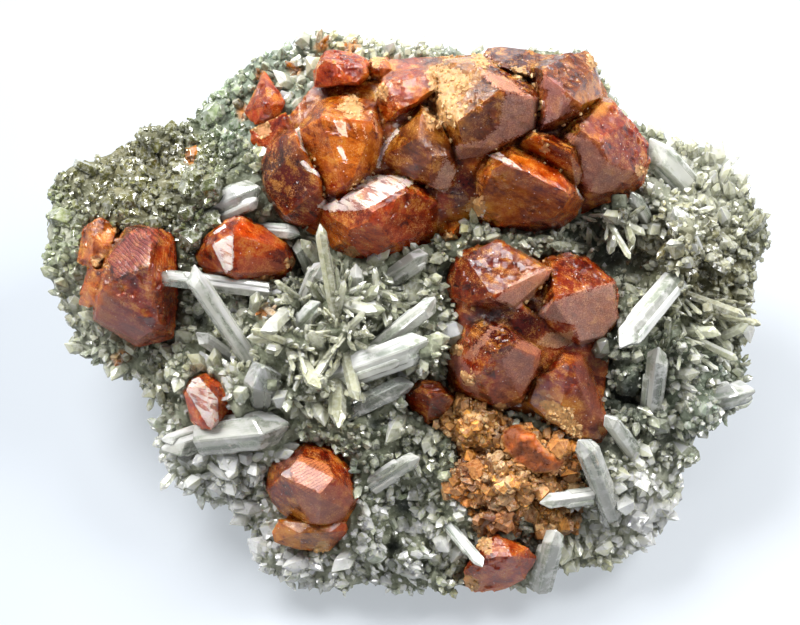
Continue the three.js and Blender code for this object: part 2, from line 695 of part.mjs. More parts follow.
// The root of a body in the rock: its outline again, narrower, with a few corners, and deeper
function rootOf(crown) {
  const middle = middleOf(crown);
  const depth = Math.min(...crown.map((p) => p.z)) - ROOT_DEPTH;
  const root = [];
  for (let side = 0; side < ROOT_SIDES; side++) {
    const angle = (side * 2 * Math.PI) / ROOT_SIDES;
    const along = (p) => (p.x - middle.x) * Math.cos(angle) + (p.y - middle.y) * Math.sin(angle);
    const reach = ROOT_SHARE * Math.max(...crown.map(along));
    root.push(new THREE.Vector3(
      middle.x + reach * Math.cos(angle),
      middle.y + reach * Math.sin(angle),
      depth,
    ));
  }
  return root;
}

// One scheelite crystal. Below, it ends in a root of its own, or in one point inside its cluster's
// foot. Above, a peak over its outline is cut back to its listed faces.
function scheeliteCrystal({ corners, faces = [] }, inCluster) {
  const crown = corners.map(onFace);
  const middle = middleOf(crown);
  const below = inCluster ? [new THREE.Vector3(middle.x, middle.y, 0)] : rootOf(crown);
  const above = faces.length ? [new THREE.Vector3(middle.x, middle.y, middle.z + PEAK_HEIGHT)] : [];
  const uncut = toSolid(new ConvexGeometry([...crown, ...below, ...above]));
  return faces.reduce((body, face) => {
    const plane = new THREE.Plane().setFromCoplanarPoints(...face.map(onFace));
    if (plane.normal.z > 0) plane.negate();
    return body.trimByPlane(plane.normal.toArray(), -plane.constant);
  }, uncut);
}

// A six-sided quartz prism from its root to its point
function quartzPrism(tip, root, across, turn = 0) {
  const axis = tip.clone().sub(root);
  const length = axis.length();
  const pointLength = Math.min(0.75 * across, 0.45 * length);
  const standing = new THREE.Quaternion().setFromUnitVectors(
    new THREE.Vector3(0, 0, 1), axis.clone().normalize(),
  );
  const points = [new THREE.Vector3(0.1 * across, 0.05 * across, length)];
  for (let side = 0; side < 6; side++) {
    const angle = turn + (side * Math.PI) / 3;
    const x = (across / 2) * Math.cos(angle);
    const y = (across / 2) * Math.sin(angle);
    const shoulder = length - pointLength * (side % 2 ? 1.12 : 0.88);
    points.push(new THREE.Vector3(0.88 * x, 0.88 * y, 0), new THREE.Vector3(x, y, shoulder));
  }
  const placed = points.map((p) => p.applyQuaternion(standing).add(root));
  return toSolid(new ConvexGeometry(placed));
}

// A small crystal of the crust: a six-sided point that narrows down to its root
function crustCrystal(foot, lean, across, length, turn) {
  const standing = new THREE.Quaternion().setFromUnitVectors(new THREE.Vector3(0, 0, 1), lean);
  const points = [new THREE.Vector3(0, 0, length), new THREE.Vector3(0, 0, -1.6 * across)];
  for (let side = 0; side < 6; side++) {
    const angle = turn + (side * Math.PI) / 3;
    const shoulder = length - across * (side % 2 ? 0.75 : 0.5);
    points.push(new THREE.Vector3(
      (across / 2) * Math.cos(angle),
      (across / 2) * Math.sin(angle),
      shoulder,
    ));
  }
  return toSolid(new ConvexGeometry(points.map((p) => p.applyQuaternion(standing).add(foot))));
}

// The crust's small crystals, spread over the face between the scheelites and leaning every way
function crustCrystals(scheelites) {
  const random = randomStream(CRUST_SEED);
  const covered = ({ x, y }) => scheelites.some((body) => {
    const { min, max } = body.boundingBox();
    return x > min[0] && x < max[0] && y > min[1] && y < max[1];
  });
  const crystals = [];
  for (let i = 0; i < CRUST_CRYSTALS; i++) {
    const share = CRUST_REACH * Math.sqrt((i + 0.5) / CRUST_CRYSTALS);
    const place = rimAt(i * GOLDEN_ANGLE).multiplyScalar(share);
    const across = THREE.MathUtils.lerp(...CRUST_ACROSS, random() ** 2);
    const length = across * (0.9 + 0.9 * random());
    const lean = new THREE.Vector3(1.3 * random() - 0.65, 1.3 * random() - 0.65, 0.6).normalize();
    const turn = 2 * random();
    const foot = new THREE.Vector3(place.x, place.y, faceHeight(place.x, place.y, share));
    if (!covered(place)) crystals.push(crustCrystal(foot, lean, across, length, turn));
  }
  return crystals;
}

function addMesh(parent, name, solid, material) {
  const geometry = toGeometry(solid);
  geometry.computeBoundingBox();
  const middle = geometry.boundingBox.getCenter(new THREE.Vector3());
  const mesh = new THREE.Mesh(geometry.translate(-middle.x, -middle.y, -middle.z), material);
  mesh.name = name;
  mesh.position.copy(middle);
  parent.add(mesh);
}

// The leaning face carries everything
const face = new THREE.Group();
face.rotation.x = FACE_LEAN;
face.position.copy(FACE_MIDDLE);

// What has been placed so far, each body with its gap, for the next ones to be cut by
const taken = [];

for (const [name, crystals] of Object.entries(SCHEELITE)) {
  const sharedRoot = SHARED_ROOTS[name];
  const bodies = crystals.map((crystal) => scheeliteCrystal(crystal, Boolean(sharedRoot)));
  if (sharedRoot) bodies.push(scheeliteCrystal({ corners: sharedRoot }, false));
  const joined = wasm.Manifold.union(bodies);
  const clear = taken.length ? joined.subtract(wasm.Manifold.union(taken)) : joined;
  const material = name === "scheelite_granular_mass" ? MATERIALS.granular : MATERIALS.scheelite;
  addMesh(face, name, largestPiece(clear), material);
  taken.push(...bodies.map((body) => withGap(body, CRYSTAL_GAP)));
}

const scheelites = [...taken];

STANDING_QUARTZ.forEach(({ name, tip, root, across }, i) => {
  const prism = quartzPrism(onFace(tip), onFace(root), across, 0.7 * i);
  const clear = largestPiece(prism.subtract(wasm.Manifold.union(taken)));
  addMesh(face, name, clear, MATERIALS.quartz);
  taken.push(withGap(prism, CRYSTAL_GAP));
});

const held = HELD_QUARTZ.map(({ tip, root, across }, i) => (
  quartzPrism(onFace(tip), onFace(root), across, 0.9 * i)
));
const rock = wasm.Manifold.union([rockSolid(), ...held, ...crustCrystals(scheelites)]);
const underside = UP.clone().toArray();
const sockets = wasm.Manifold.union(taken);
const matrix = largestPiece(rock.subtract(sockets).trimByPlane(underside, -FACE_MIDDLE.z));
addMesh(face, "rock_matrix", matrix, MATERIALS.rock);

const specimen = new THREE.Group();
specimen.add(face);

export default specimen;
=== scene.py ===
"""A scheelite specimen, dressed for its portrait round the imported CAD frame.

The rock gets its broken surface and a crust of many thousand small quartz crystals. The scheelites
get growth steps, grains and a glassy orange material, and the large quartz prisms are cut anew as
clear and milky crystals. Points on the crystal face are given as the CAD source gives them: the
first two numbers are the point's pixel in the photograph, and the third is its height in
millimetres above the face plane.
"""

import itertools
import math

import bmesh
import bpy
import numpy as np
from mathutils import Matrix, Vector
from mathutils.bvhtree import BVHTree
from mathutils.kdtree import KDTree


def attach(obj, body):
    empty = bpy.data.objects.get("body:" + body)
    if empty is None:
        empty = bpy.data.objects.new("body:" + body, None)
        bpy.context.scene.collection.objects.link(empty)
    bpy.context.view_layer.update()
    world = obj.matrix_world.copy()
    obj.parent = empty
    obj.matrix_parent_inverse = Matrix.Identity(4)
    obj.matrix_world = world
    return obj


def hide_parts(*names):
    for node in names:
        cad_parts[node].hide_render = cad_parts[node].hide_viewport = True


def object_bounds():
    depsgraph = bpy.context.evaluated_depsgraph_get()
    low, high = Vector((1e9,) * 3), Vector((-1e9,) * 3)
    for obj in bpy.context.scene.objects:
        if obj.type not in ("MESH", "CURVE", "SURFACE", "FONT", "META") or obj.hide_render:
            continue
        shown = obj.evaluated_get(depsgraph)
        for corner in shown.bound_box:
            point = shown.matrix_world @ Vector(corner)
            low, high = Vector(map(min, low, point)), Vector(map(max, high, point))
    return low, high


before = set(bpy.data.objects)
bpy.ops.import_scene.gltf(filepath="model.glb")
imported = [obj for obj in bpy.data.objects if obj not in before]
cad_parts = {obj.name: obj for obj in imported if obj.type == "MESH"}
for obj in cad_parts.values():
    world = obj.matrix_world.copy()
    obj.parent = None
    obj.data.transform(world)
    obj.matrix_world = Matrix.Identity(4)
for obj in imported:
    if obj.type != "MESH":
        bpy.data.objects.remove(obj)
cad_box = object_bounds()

MM = 0.001

# The crystal face, as in the CAD source: its middle, its lean towards the viewer and its scale
FACE_MIDDLE = np.array([-0.4, -1.05, 27.0]) * MM
FACE_LEAN = math.radians(22)
SPECIMEN_WIDTH = 120 * MM
WIDTH_IN_PIXELS = 727
PICTURE_MIDDLE = (400, 312.5)
PICTURE_WIDTH = 800
VIEW_DISTANCE = 450 * MM

FACE_RIGHT = np.array([1.0, 0.0, 0.0])
FACE_UP = np.array([0.0, math.cos(FACE_LEAN), math.sin(FACE_LEAN)])
FACE_OUT = np.array([0.0, -math.sin(FACE_LEAN), math.cos(FACE_LEAN)])
FACE_AXES = np.stack([FACE_RIGHT, FACE_UP, FACE_OUT])

# Lights: the name of each, the way to it from the specimen, its distance, its size and its power
LIGHTS = [
    ("key_back_left", (-0.45, 0.48, 0.8), 0.8, (0.42, 0.32), 14.5),
    ("back_strip", (-0.24, 0.94, 0.25), 0.8, (0.5, 0.14), 4),
    ("fill_back_right", (0.62, 0.3, 0.72), 0.8, (0.3, 0.3), 9),
    ("front_left_card", (-0.53, -0.76, 0.38), 0.6, (0.12, 0.12), 1.0),
]
CAMERA_SENSOR = 36
SKY_TONE = (0.93, 0.96, 1.0)
FLOOR_SIZE = 6.0
FLOOR_TONE = (0.23, 0.243, 0.26)
FLOOR_TONE_SHADED_LEFT = (0.143, 0.158, 0.178)
FLOOR_GLOW = (0.395, 0.42, 0.445)

# Large quartz prisms: where the tip of each is, where its root is, and its width in millimetres
STANDING_PRISMS = [
    ("quartz_long_prism", (431, 340, 15), (318, 381, 7), 5.2),
    ("quartz_lance", (414, 379, 11), (345, 412, 6), 3.6),
    ("quartz_crossed_prism_upper", (188, 268, 14), (252, 364, 5), 3.2),
    ("quartz_crossed_prism_lower", (153, 276, 10.5), (268, 291, 5.5), 3.0),
    ("quartz_stub_prism", (263, 362, 13), (262, 405, 2), 6.4),
    ("quartz_upper_fang", (323, 262, 11), (305, 305, 3), 3.6),
    ("quartz_blade", (428, 251, 12), (388, 280, 5), 3.4),
    ("quartz_left_barrel", (262, 188, 8), (212, 210, 1), 5.8),
    ("quartz_right_spear", (617, 348, 15), (676, 278, 3), 4.2),
    ("quartz_pale_tooth", (674, 206, 10), (694, 252, 3), 3.0),
    ("quartz_lower_right_prism", (582, 436, 11), (613, 516, 1), 4.0),
    ("quartz_bottom_tooth", (556, 528, 6), (541, 588, -5), 3.6),
    ("quartz_clear_lens", (292, 428, 9), (200, 438, 2), 6.6),
    ("quartz_lower_middle_prism", (420, 455, 9), (372, 486, 3), 3.2),
]
# Prisms that the crust holds along their sides, given in the same way
HELD_PRISMS = [
    ((438, 299, 14), (372, 352, 7), 3.4),
    ((195, 332, 6), (242, 364, 1), 2.8),
    ((356, 266, 11), (356, 312, 4), 2.4),
    ((320, 300, 11), (280, 345, 4), 3.0),
    ((302, 233, 6), (244, 228, 2), 2.6),
    ((296, 240, 5), (318, 290, -3), 2.4),
    ((604, 207, 10), (626, 250, 0), 1.9),
    ((616, 199, 10), (642, 244, 1), 1.9),
    ((631, 192, 10), (652, 230, 2), 2.4),
    ((646, 140, 5), (688, 186, 0), 5.0),
    ((658, 346, 9), (650, 412, 0), 3.6),
    ((538, 502, 8), (592, 495, 4), 2.9),
    ((605, 414, 9), (636, 456, 1), 2.8),
    ((484, 567, 7.5), (448, 524, 1), 2.0),
    ((160, 452, 2), (205, 436, -1), 4.6),
    ((757, 388, 1), (716, 398, -2), 4.4),
]

# The standing prisms that are milky, as the held ones are
MILKY_PRISMS = [
    "quartz_long_prism", "quartz_blade", "quartz_right_spear", "quartz_pale_tooth",
    "quartz_bottom_tooth",
]

SCHEELITES = [
    "scheelite_main_cluster",
    "scheelite_rim_crystal",
    "scheelite_centre_cluster",
    "scheelite_small_red_crystal",
    "scheelite_left_crystal",
    "scheelite_upper_left_crystal",
    "scheelite_small_left_crystal",
    "scheelite_lower_left_crystal",
    "scheelite_bottom_crystal",
]
GRANULAR = "scheelite_granular_mass"

# Large numbers that turn the number of a cell into one that looks random
HASH_STEPS = np.array([73856093, 19349663, 83492791, 2654435761])
HASH_MIXERS = (1274126177, 2246822519)
LOW_BITS = 0xFFFFFFFF
SHORT_BITS = 0xFFFF


def on_face(point):
    """The place in metres of a point given by its pixel and its height above the face."""
    px, py, height = point
    k = SPECIMEN_WIDTH / WIDTH_IN_PIXELS * (1 - height * MM / VIEW_DISTANCE)
    across, up = (px - PICTURE_MIDDLE[0]) * k, (PICTURE_MIDDLE[1] - py) * k
    return FACE_MIDDLE + FACE_RIGHT * across + FACE_UP * up + FACE_OUT * height * MM


def to_face(points):
    """The pixel and the height in millimetres of each point given in metres."""
    local = (points - FACE_MIDDLE) @ FACE_AXES.T
    k = SPECIMEN_WIDTH / WIDTH_IN_PIXELS * (1 - local[:, 2] / VIEW_DISTANCE)
    px = local[:, 0] / k + PICTURE_MIDDLE[0]
    py = PICTURE_MIDDLE[1] - local[:, 1] / k
    return np.stack([px, py, local[:, 2] / MM], axis=1)


def spots_of(points):
    """The pixel of each point given in metres."""
    return to_face(points)[:, :2]


def linear(code):
    """A linear colour from a six-figure web colour."""
    parts = np.array([int(code[i:i + 2], 16) for i in (0, 2, 4)]) / 255
    return np.where(parts <= 0.04045, parts / 12.92, ((parts + 0.055) / 1.055) ** 2.4)


def smooth_step(low, high, values):
    t = np.clip((values - low) / (high - low), 0, 1)
    return t * t * (3 - 2 * t)


def noise(points, size, seed):
    """Smooth noise from -1 to 1 at each point, whose lumps are about size across."""
    places = points / size
    cell = np.floor(places).astype(np.int64)
    part = places - cell
    part = part * part * (3 - 2 * part)
    total = np.zeros(len(points))
    for corner in itertools.product((0, 1), repeat=3):
        weight = np.prod(np.where(corner, part, 1 - part), axis=1)
        mixed = np.bitwise_xor.reduce((cell + corner) * HASH_STEPS[:3], axis=1)
        mixed = (mixed ^ (seed * HASH_STEPS[3])) & LOW_BITS
        mixed = mixed * HASH_MIXERS[0] & LOW_BITS
        mixed = (mixed ^ (mixed >> 15)) * HASH_MIXERS[1] & LOW_BITS
        total += weight * ((mixed ^ (mixed >> 13)) / 2 ** 31 - 1)
    return total


def within(spots, outline):
    """How many pixels inside an outline each spot lies, below zero outside it."""
    corners = np.array(outline, dtype=float)
    nearest = np.full(len(spots), np.inf)
    inside = np.zeros(len(spots), dtype=bool)
    for start, end in zip(corners, np.roll(corners, -1, axis=0)):
        side = end - start
        share = np.clip((spots - start) @ side / (side @ side), 0, 1)
        away = np.linalg.norm(spots - start - share[:, None] * side, axis=1)
        nearest = np.minimum(nearest, away)
        spans = (start[1] > spots[:, 1]) != (end[1] > spots[:, 1])
        slope = side[0] / side[1] if side[1] else 0
        inside ^= spans & (spots[:, 0] < start[0] + (spots[:, 1] - start[1]) * slope)
    return np.where(inside, nearest, -nearest)


def chipped(points, size, slope, seed):
    """Heights of a broken surface, whose flat chips are about size across and tilt each their own way."""
    rng = np.random.default_rng(seed)
    low, high = points.min(0) - size, points.max(0) + size
    centres = rng.uniform(low, high, (int(np.prod((high - low) / size)), 3))
    tilts = rng.normal(0, slope, centres.shape)
    tree = KDTree(len(centres))
    for i, centre in enumerate(centres):
        tree.insert(centre, i)
    tree.balance()
    nearest = np.array([tree.find(point)[1] for point in points])
    return ((points - centres[nearest]) * tilts[nearest]).sum(1)


def unit(vectors):
    return vectors / np.maximum(np.linalg.norm(vectors, axis=-1, keepdims=True), 1e-12)


KEY_WAY = unit(np.array(LIGHTS[0][1]))


def side_axes(axes):
    """Two directions that are at right angles to each given one and to each other."""
    helper = np.where(np.abs(axes[:, 2:3]) < 0.9, [[0.0, 0.0, 1.0]], [[1.0, 0.0, 0.0]])
    side = unit(np.cross(axes, helper))
    return side, np.cross(axes, side)


def blend(tones, other, share):
    """The tones, each turned towards another by its share."""
    return tones + (other - tones) * np.reshape(share, (-1, 1))


def nearness(spots, place, radius):
    """How near each spot is to a place: 1 there, and falling off over the radius."""
    return np.exp(-((spots - place) ** 2).sum(1) / radius ** 2)


def patchwork(spots, table, ground, ground_weight, sharpness=1.0):
    """The colour at each spot: a ground tone, and each tone of the table near its own place."""
    total = np.tile(ground * ground_weight, (len(spots), 1))
    weight = np.full(len(spots), ground_weight)
    for place, radius, tone in table:
        near = nearness(spots, place, radius) ** sharpness
        total += near[:, None] * tone
        weight += near
    return total / weight[:, None]


def in_zones(spots, zones, gain=1.4):
    """How deep each spot lies in any of the zones, from 0 outside to 1 at a middle."""
    share = np.zeros(len(spots))
    for place, radius in zones:
        away = np.linalg.norm(spots - place, axis=1)
        share = np.maximum(share, np.clip(gain * (1 - away / radius), 0, 1))
    return share


def read(items, field, width=1, kind=float):
    """One value of every vertex, edge or face of a mesh, as an array."""
    flat = np.zeros(len(items) * width, dtype=kind)
    items.foreach_get(field, flat)
    return flat.reshape(-1, width) if width > 1 else flat


def get_points(mesh):
    return read(mesh.vertices, "co", 3)


def set_points(mesh, points):
    mesh.vertices.foreach_set("co", points.astype(np.float32).ravel())
    mesh.update()


def get_normals(mesh):
    return read(mesh.vertex_normals, "vector", 3)


def edge_pairs(mesh):
    return read(mesh.edges, "vertices", 2, np.int64)


def loop_vertices(mesh):
    """The vertex at each corner of the faces."""
    return read(mesh.loops, "vertex_index", kind=np.int64)


def first_vertices(mesh):
    """The first vertex of each face."""
    return loop_vertices(mesh)[read(mesh.polygons, "loop_start", kind=np.int64)]


def face_centres(mesh):
    """The middle, the normal and the area of each face."""
    faces = mesh.polygons
    return read(faces, "center", 3), read(faces, "normal", 3), read(faces, "area")


def blurred(values, pairs, times):
    """The values at a mesh's vertices, each averaged with its neighbours so many times."""
    count = np.bincount(pairs.ravel(), minlength=len(values)).astype(float)
    wide = values if values.ndim == 2 else values[:, None]
    for _ in range(times):
        total = np.stack([
            np.bincount(pairs[:, 0], wide[pairs[:, 1], i], len(values))
            + np.bincount(pairs[:, 1], wide[pairs[:, 0], i], len(values))
            for i in range(wide.shape[1])
        ], axis=1)
        wide = (wide + total) / (count[:, None] + 1)
    return wide.reshape(values.shape)


def paint(mesh, colours, name="tone", domain="POINT"):
    """Keeps a colour for each vertex or corner, which the materials read by name."""
    layer = mesh.color_attributes.new(name, "FLOAT_COLOR", domain)
    full = np.ones((len(colours), 4), dtype=np.float32)
    full[:, :3] = colours
    layer.data.foreach_set("color", full.ravel())


def paint_faces(mesh, colours, vertex_shade, face_light):
    """Colours each corner of each face: by its vertex, times the painted shade at that vertex, and times the
    painted light of its face.
    """
    vertex = loop_vertices(mesh)
    of_face = np.repeat(face_light, read(mesh.polygons, "loop_total", kind=np.int64))
    tones = colours[vertex] * vertex_shade[vertex][:, None] * of_face[:, None]
    paint(mesh, np.clip(tones, 0, 1), domain="CORNER")


def add_object(name, data):
    made = bpy.data.objects.new(name, data)
    bpy.context.scene.collection.objects.link(made)
    return made


def add_piece(name, mesh, materials, replaced=None, smooth=False):
    """Links a mesh as a piece of the specimen, which rides on its one body."""
    piece = add_object(name, mesh)
    mesh.materials.clear()
    for material in materials:
        mesh.materials.append(material)
    mesh.polygons.foreach_set("use_smooth", [smooth] * len(mesh.polygons))
    mesh.update()
    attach(piece, "root")
    if replaced:
        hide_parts(replaced)


def solid_copy(node):
    """A copy of a CAD node's mesh whose faces share their corners again."""
    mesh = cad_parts[node].data.copy()
    body = bmesh.new()
    body.from_mesh(mesh)
    bmesh.ops.remove_doubles(body, verts=body.verts, dist=0.001 * MM)
    body.to_mesh(mesh)
    body.free()
    return mesh


def tree_of(mesh):
    points = [Vector(p) for p in get_points(mesh)]
    return BVHTree.FromPolygons(points, [tuple(p.vertices) for p in mesh.polygons])


def joined_tree(nodes):
    """One search tree of the surfaces of several CAD nodes."""
    points, faces = [], []
    for name in nodes:
        mesh = solid_copy(name)
        faces += [tuple(v + len(points) for v in p.vertices) for p in mesh.polygons]
        points += [Vector(p) for p in get_points(mesh)]
    return BVHTree.FromPolygons(points, faces)


# The share of its box that a sharp net may fill, and how openness is felt round a point
REMESH_SCALE_LIMIT = 0.99
SKY_WAYS = 6
SKY_LEAN = 1.2
SKY_START = 0.1 * MM
# How flat faces are told apart, from just above the net: by the way of each and by its place
FACET_LIFT = 0.02 * MM
FACET_STEPS = 12
FACET_SPACING = 0.8 * MM


def netted(mesh, **settings):
    """The mesh as the remesh modifier makes it anew with these settings."""
    holder = add_object("holder", mesh)
    net = holder.modifiers.new("net", "REMESH")
    for name, value in settings.items():
        setattr(net, name, value)
    depsgraph = bpy.context.evaluated_depsgraph_get()
    result = bpy.data.meshes.new_from_object(holder.evaluated_get(depsgraph))
    bpy.data.objects.remove(holder)
    return result


def remeshed(mesh, size):
    """The same shape as an even net of small square faces."""
    return netted(mesh, mode="VOXEL", voxel_size=size)


def sharp_net(mesh, size):
    """The same flat faces and sharp edges as a net of faces about size across."""
    cells = np.ptp(get_points(mesh), axis=0).max() / size
    depth = math.ceil(math.log2(cells / REMESH_SCALE_LIMIT))
    return netted(
        mesh, mode="SHARP", octree_depth=depth, scale=cells / 2 ** depth,
        use_remove_disconnected=False,
    )


def facet_normals(tree, points, normals):
    """The normal of the flat face on which each point lies, and a number for that face."""
    facets = np.empty_like(points)
    for i, point in enumerate(points):
        facets[i] = tree.find_nearest(point + normals[i] * FACET_LIFT)[1]
    offset = (points * facets).sum(1)
    keys = np.column_stack([facets * FACET_STEPS, offset / FACET_SPACING])
    mixed = np.round(keys).astype(np.int64) @ HASH_STEPS & LOW_BITS
    mixed = (mixed * HASH_MIXERS[0] & LOW_BITS) ^ (mixed >> 15)
    return facets, (mixed & SHORT_BITS) / SHORT_BITS


def openness(tree, points, normals, reach):
    """How much of the sky over each point is free of the given surface, from 0 to 1."""
    side, other = side_axes(normals)
    free = np.zeros(len(points))
    for turn in range(SKY_WAYS):
        angle = turn * 2 * math.pi / SKY_WAYS
        ways = unit(normals + SKY_LEAN * (math.cos(angle) * side + math.sin(angle) * other))
        for i, start in enumerate(points + normals * SKY_START):
            distance = tree.ray_cast(start, ways[i], reach)[3]
            free[i] += 1 if distance is None else distance / reach
    return free / SKY_WAYS


def along_prism(points, tip, root):
    """How far each point is along a prism and aside from its middle line, its axis and length."""
    start, end = on_face(root), on_face(tip)
    length = np.linalg.norm(end - start)
    axis = (end - start) / length
    along = (points - start) @ axis
    aside = np.linalg.norm(points - start - along[:, None] * axis, axis=1)
    return along, aside, axis, length


# Colours of the rock and its crust, and where each lies: pixel and radius in pixels
CHLORITE = linear("4f5640")
DARK_GREEN = linear("2f3a2e")
OLIVE = linear("7f7238")
GREY_GREEN = linear("a3a78c")
BLUE_GREEN = linear("98a893")
PALE = linear("e0e1cc")
CRYSTAL = linear("f0f0e0")
IRON_ORANGE = linear("c9791d")
CRUST_TONES = [
    ((120, 190), 60, OLIVE),
    ((180, 165), 35, OLIVE),
    ((62, 240), 38, PALE),
    ((200, 225), 40, CHLORITE),
    ((75, 320), 30, PALE),
    ((250, 75), 45, BLUE_GREEN),
    ((230, 110), 40, BLUE_GREEN),
    ((330, 370), 90, GREY_GREEN),
    ((220, 470), 65, PALE),
    ((300, 575), 45, PALE),
    ((400, 520), 45, GREY_GREEN),
    ((700, 180), 45, PALE),
    ((700, 260), 50, OLIVE),
    ((735, 310), 40, OLIVE),
    ((690, 380), 55, BLUE_GREEN),
    ((650, 500), 50, PALE),
    ((620, 545), 40, PALE),
    ((600, 245), 40, DARK_GREEN),
    ((625, 395), 35, DARK_GREEN),
    ((500, 590), 40, PALE),
]
ORANGE_STAINS = [
    ((272, 104), 14), ((262, 76), 7), ((244, 112), 9), ((296, 68), 8), ((322, 46), 8),
    ((352, 50), 10), ((389, 64), 9), ((316, 62), 8), ((190, 158), 8), ((124, 356), 8),
    ((266, 312), 9), ((243, 284), 8), ((470, 412), 10),
]
GROUND_WEIGHT = 0.25
STAIN_GAIN = 2


def crust_tones(points):
    """The colour of the crust at each point, which goes from patch to patch."""
    return patchwork(spots_of(points), CRUST_TONES, GREY_GREEN, GROUND_WEIGHT)


def stain_share(points):
    """How much orange stain lies on each point, from 0 to 1."""
    return in_zones(spots_of(points), ORANGE_STAINS, STAIN_GAIN)


# Rock: its net, its lumps with their sizes and heights in millimetres, its chips with their sizes
# and slopes, and how far its relief may reach
ROCK_NET = 0.7 * MM
ROCK_SMOOTHING = 6
ROCK_LUMPS = [(6.0, 0.55), (2.6, 0.5), (1.3, 0.3)]
ROCK_CHIPS = [(11.0, 0.22), (4.5, 0.3), (2.2, 0.35)]
DEEPEST_DENT = -1.8 * MM
HIGHEST_LUMP = 1.3 * MM
BASE_HEIGHT = 0.5 * MM


def without_held_prisms(points):
    """Pushes the surface of each held prism back along it to its root, to be built anew."""
    for tip, root, across in HELD_PRISMS:
        along, aside, axis, _ = along_prism(points, tip, root)
        held = (along > 0) & (aside < across * 0.8 * MM) & (along < across * 6 * MM)
        points[held] -= along[held][:, None] * axis
    return points


def rock_mesh():
    mesh = remeshed(solid_copy("rock_matrix"), ROCK_NET)
    set_points(mesh, without_held_prisms(get_points(mesh)))
    mesh = remeshed(mesh, ROCK_NET)
    points = get_points(mesh)
    base = points[:, 2] < BASE_HEIGHT
    points = blurred(points, edge_pairs(mesh), ROCK_SMOOTHING)
    set_points(mesh, points)
    normals = get_normals(mesh)
    lumps, chips = np.zeros(len(points)), np.zeros(len(points))
    for i, (size, height) in enumerate(ROCK_LUMPS):
        lumps += height * MM * (1 - 2 * np.abs(noise(points, size * MM, 11 + i)))
    bent = points + 0.6 * MM * noise(points, 3 * MM, 17)[:, None]
    for i, (size, slope) in enumerate(ROCK_CHIPS):
        chips += chipped(bent, size * MM, slope, 14 + i)
    broken = smooth_step(0.6, 0.1, normals @ FACE_OUT)
    rise = 0.6 * lumps * (1 - 0.6 * broken) + chips * (0.35 + 0.65 * broken)
    points = points + normals * np.clip(rise, DEEPEST_DENT, HIGHEST_LUMP)[:, None]
    points[:, 2] = np.maximum(points[:, 2], 0)
    points[base, 2] = 0
    set_points(mesh, points)
    return mesh


def rock_piece(material):
    """The rock under its crust: darker than the crust, with orange stains, and with its hollows painted
    dark, as painted shade and as the dark specks in some of them.
    """
    rock = rock_mesh()
    points = get_points(rock)
    tones = crust_tones(points) * 0.42 + CHLORITE * 0.15
    # Painted shade, and dark specks in some hollows: the rock darker in the hollows
    tones = blend(tones, DARK_GREEN * 0.5, in_zones(spots_of(points), CRUST_ZONES["hollow"]))
    paint(rock, blend(tones, IRON_ORANGE, stain_share(points) * 0.8))
    add_piece("crusted_rock", rock, [material], replaced="rock_matrix", smooth=True)
    return rock


# Crust: tiers of small quartz crystals. Lengths, widths and distances are in millimetres. The lean
# is how far they stray from the surface's normal, and sunk is a share of their width
CRUST_TIERS = [
    {"count": 330, "length": (3.2, 6.4), "across": (2.4, 4.4), "lean": 1.0, "apart": 2.9, "sunk": 0.4},
    {"count": 1500, "length": (2.0, 4.6), "across": (1.3, 2.6), "lean": 1.2, "apart": 1.35, "sunk": 0.25},
    {"count": 5200, "length": (1.2, 3.0), "across": (0.85, 1.8), "lean": 1.2, "apart": 0.78, "sunk": 0.25},
    {"count": 8400, "length": (0.7, 1.9), "across": (0.6, 1.3), "lean": 1.1, "apart": 0.5, "sunk": 0.25},
]
# Where the crystals are slender or coarse, where painted light makes them brighter over the lower
# part of the face, and where there is a bare hollow whose rock is painted dark: pixel and radius in pixels
CRUST_ZONES = {
    "slender": [((330, 330), 90), ((300, 250), 50), ((600, 230), 50), ((690, 320), 60)],
    "coarse": [((235, 445), 75), ((290, 570), 55), ((640, 520), 70), ((335, 350), 80), ((720, 180), 50)],
    "bright": [((220, 470), 110), ((300, 560), 100), ((410, 550), 90), ((645, 530), 95)],
    "hollow": [
        ((404, 506), 15), ((395, 547), 12), ((306, 266), 16), ((612, 256), 20), ((168, 338), 14),
        ((626, 392), 18), ((442, 276), 12), ((375, 425), 10), ((200, 320), 12), ((600, 455), 9),
    ],
}
CRUST_SEED = 20
CRUST_TINT = np.array([1.0, 1.0, 0.88])
HUE_SPREAD = np.array([0.25, 0.05, -0.35])
BEVELLED_TIERS = 2
CRUST_BEVEL = 0.075 * MM
BARE_FOOT = 2.0 * MM
BOX_MARGIN = 1.0 * MM
ROOT_SCATTER = 0.25 * MM
LEAST_TIP_HEIGHT = 0.6 * MM
LEAST_FACING = 0.35
# A prism's corners: a ring at the root, a ring at the shoulder and the tip, and their painted shade and
# highlight: darker at the root, lighter at the tip
RING = 6
CORNERS = 2 * RING + 1
CORNER_SHADE_GAINS = np.concatenate([np.full(RING, 0.55), np.full(RING, 1.05), [1.3]])


def prism_points(start, axis, length, across, turn, flat, point_share, slant):
    """The corners of many prisms at once."""
    side, other = side_axes(axis)
    angles = turn[:, None] + np.arange(RING) * (2 * math.pi / RING)
    radius = across[:, None] / 2
    ring = (
        (np.cos(angles) * radius)[:, :, None] * side[:, None]
        + (np.sin(angles) * radius * flat[:, None])[:, :, None] * other[:, None]
    )
    point = np.minimum(across * point_share, length * 0.45)
    alternate = np.where(np.arange(RING) % 2, 0.8, 1.2)
    shoulder = length[:, None] - point[:, None] * alternate
    corners = np.empty((len(start), CORNERS, 3))
    corners[:, :RING] = start[:, None] + ring * 0.88
    corners[:, RING:2 * RING] = start[:, None] + ring + shoulder[:, :, None] * axis[:, None]
    corners[:, -1] = start + axis * length[:, None] + side * (slant * across)[:, None]
    return corners


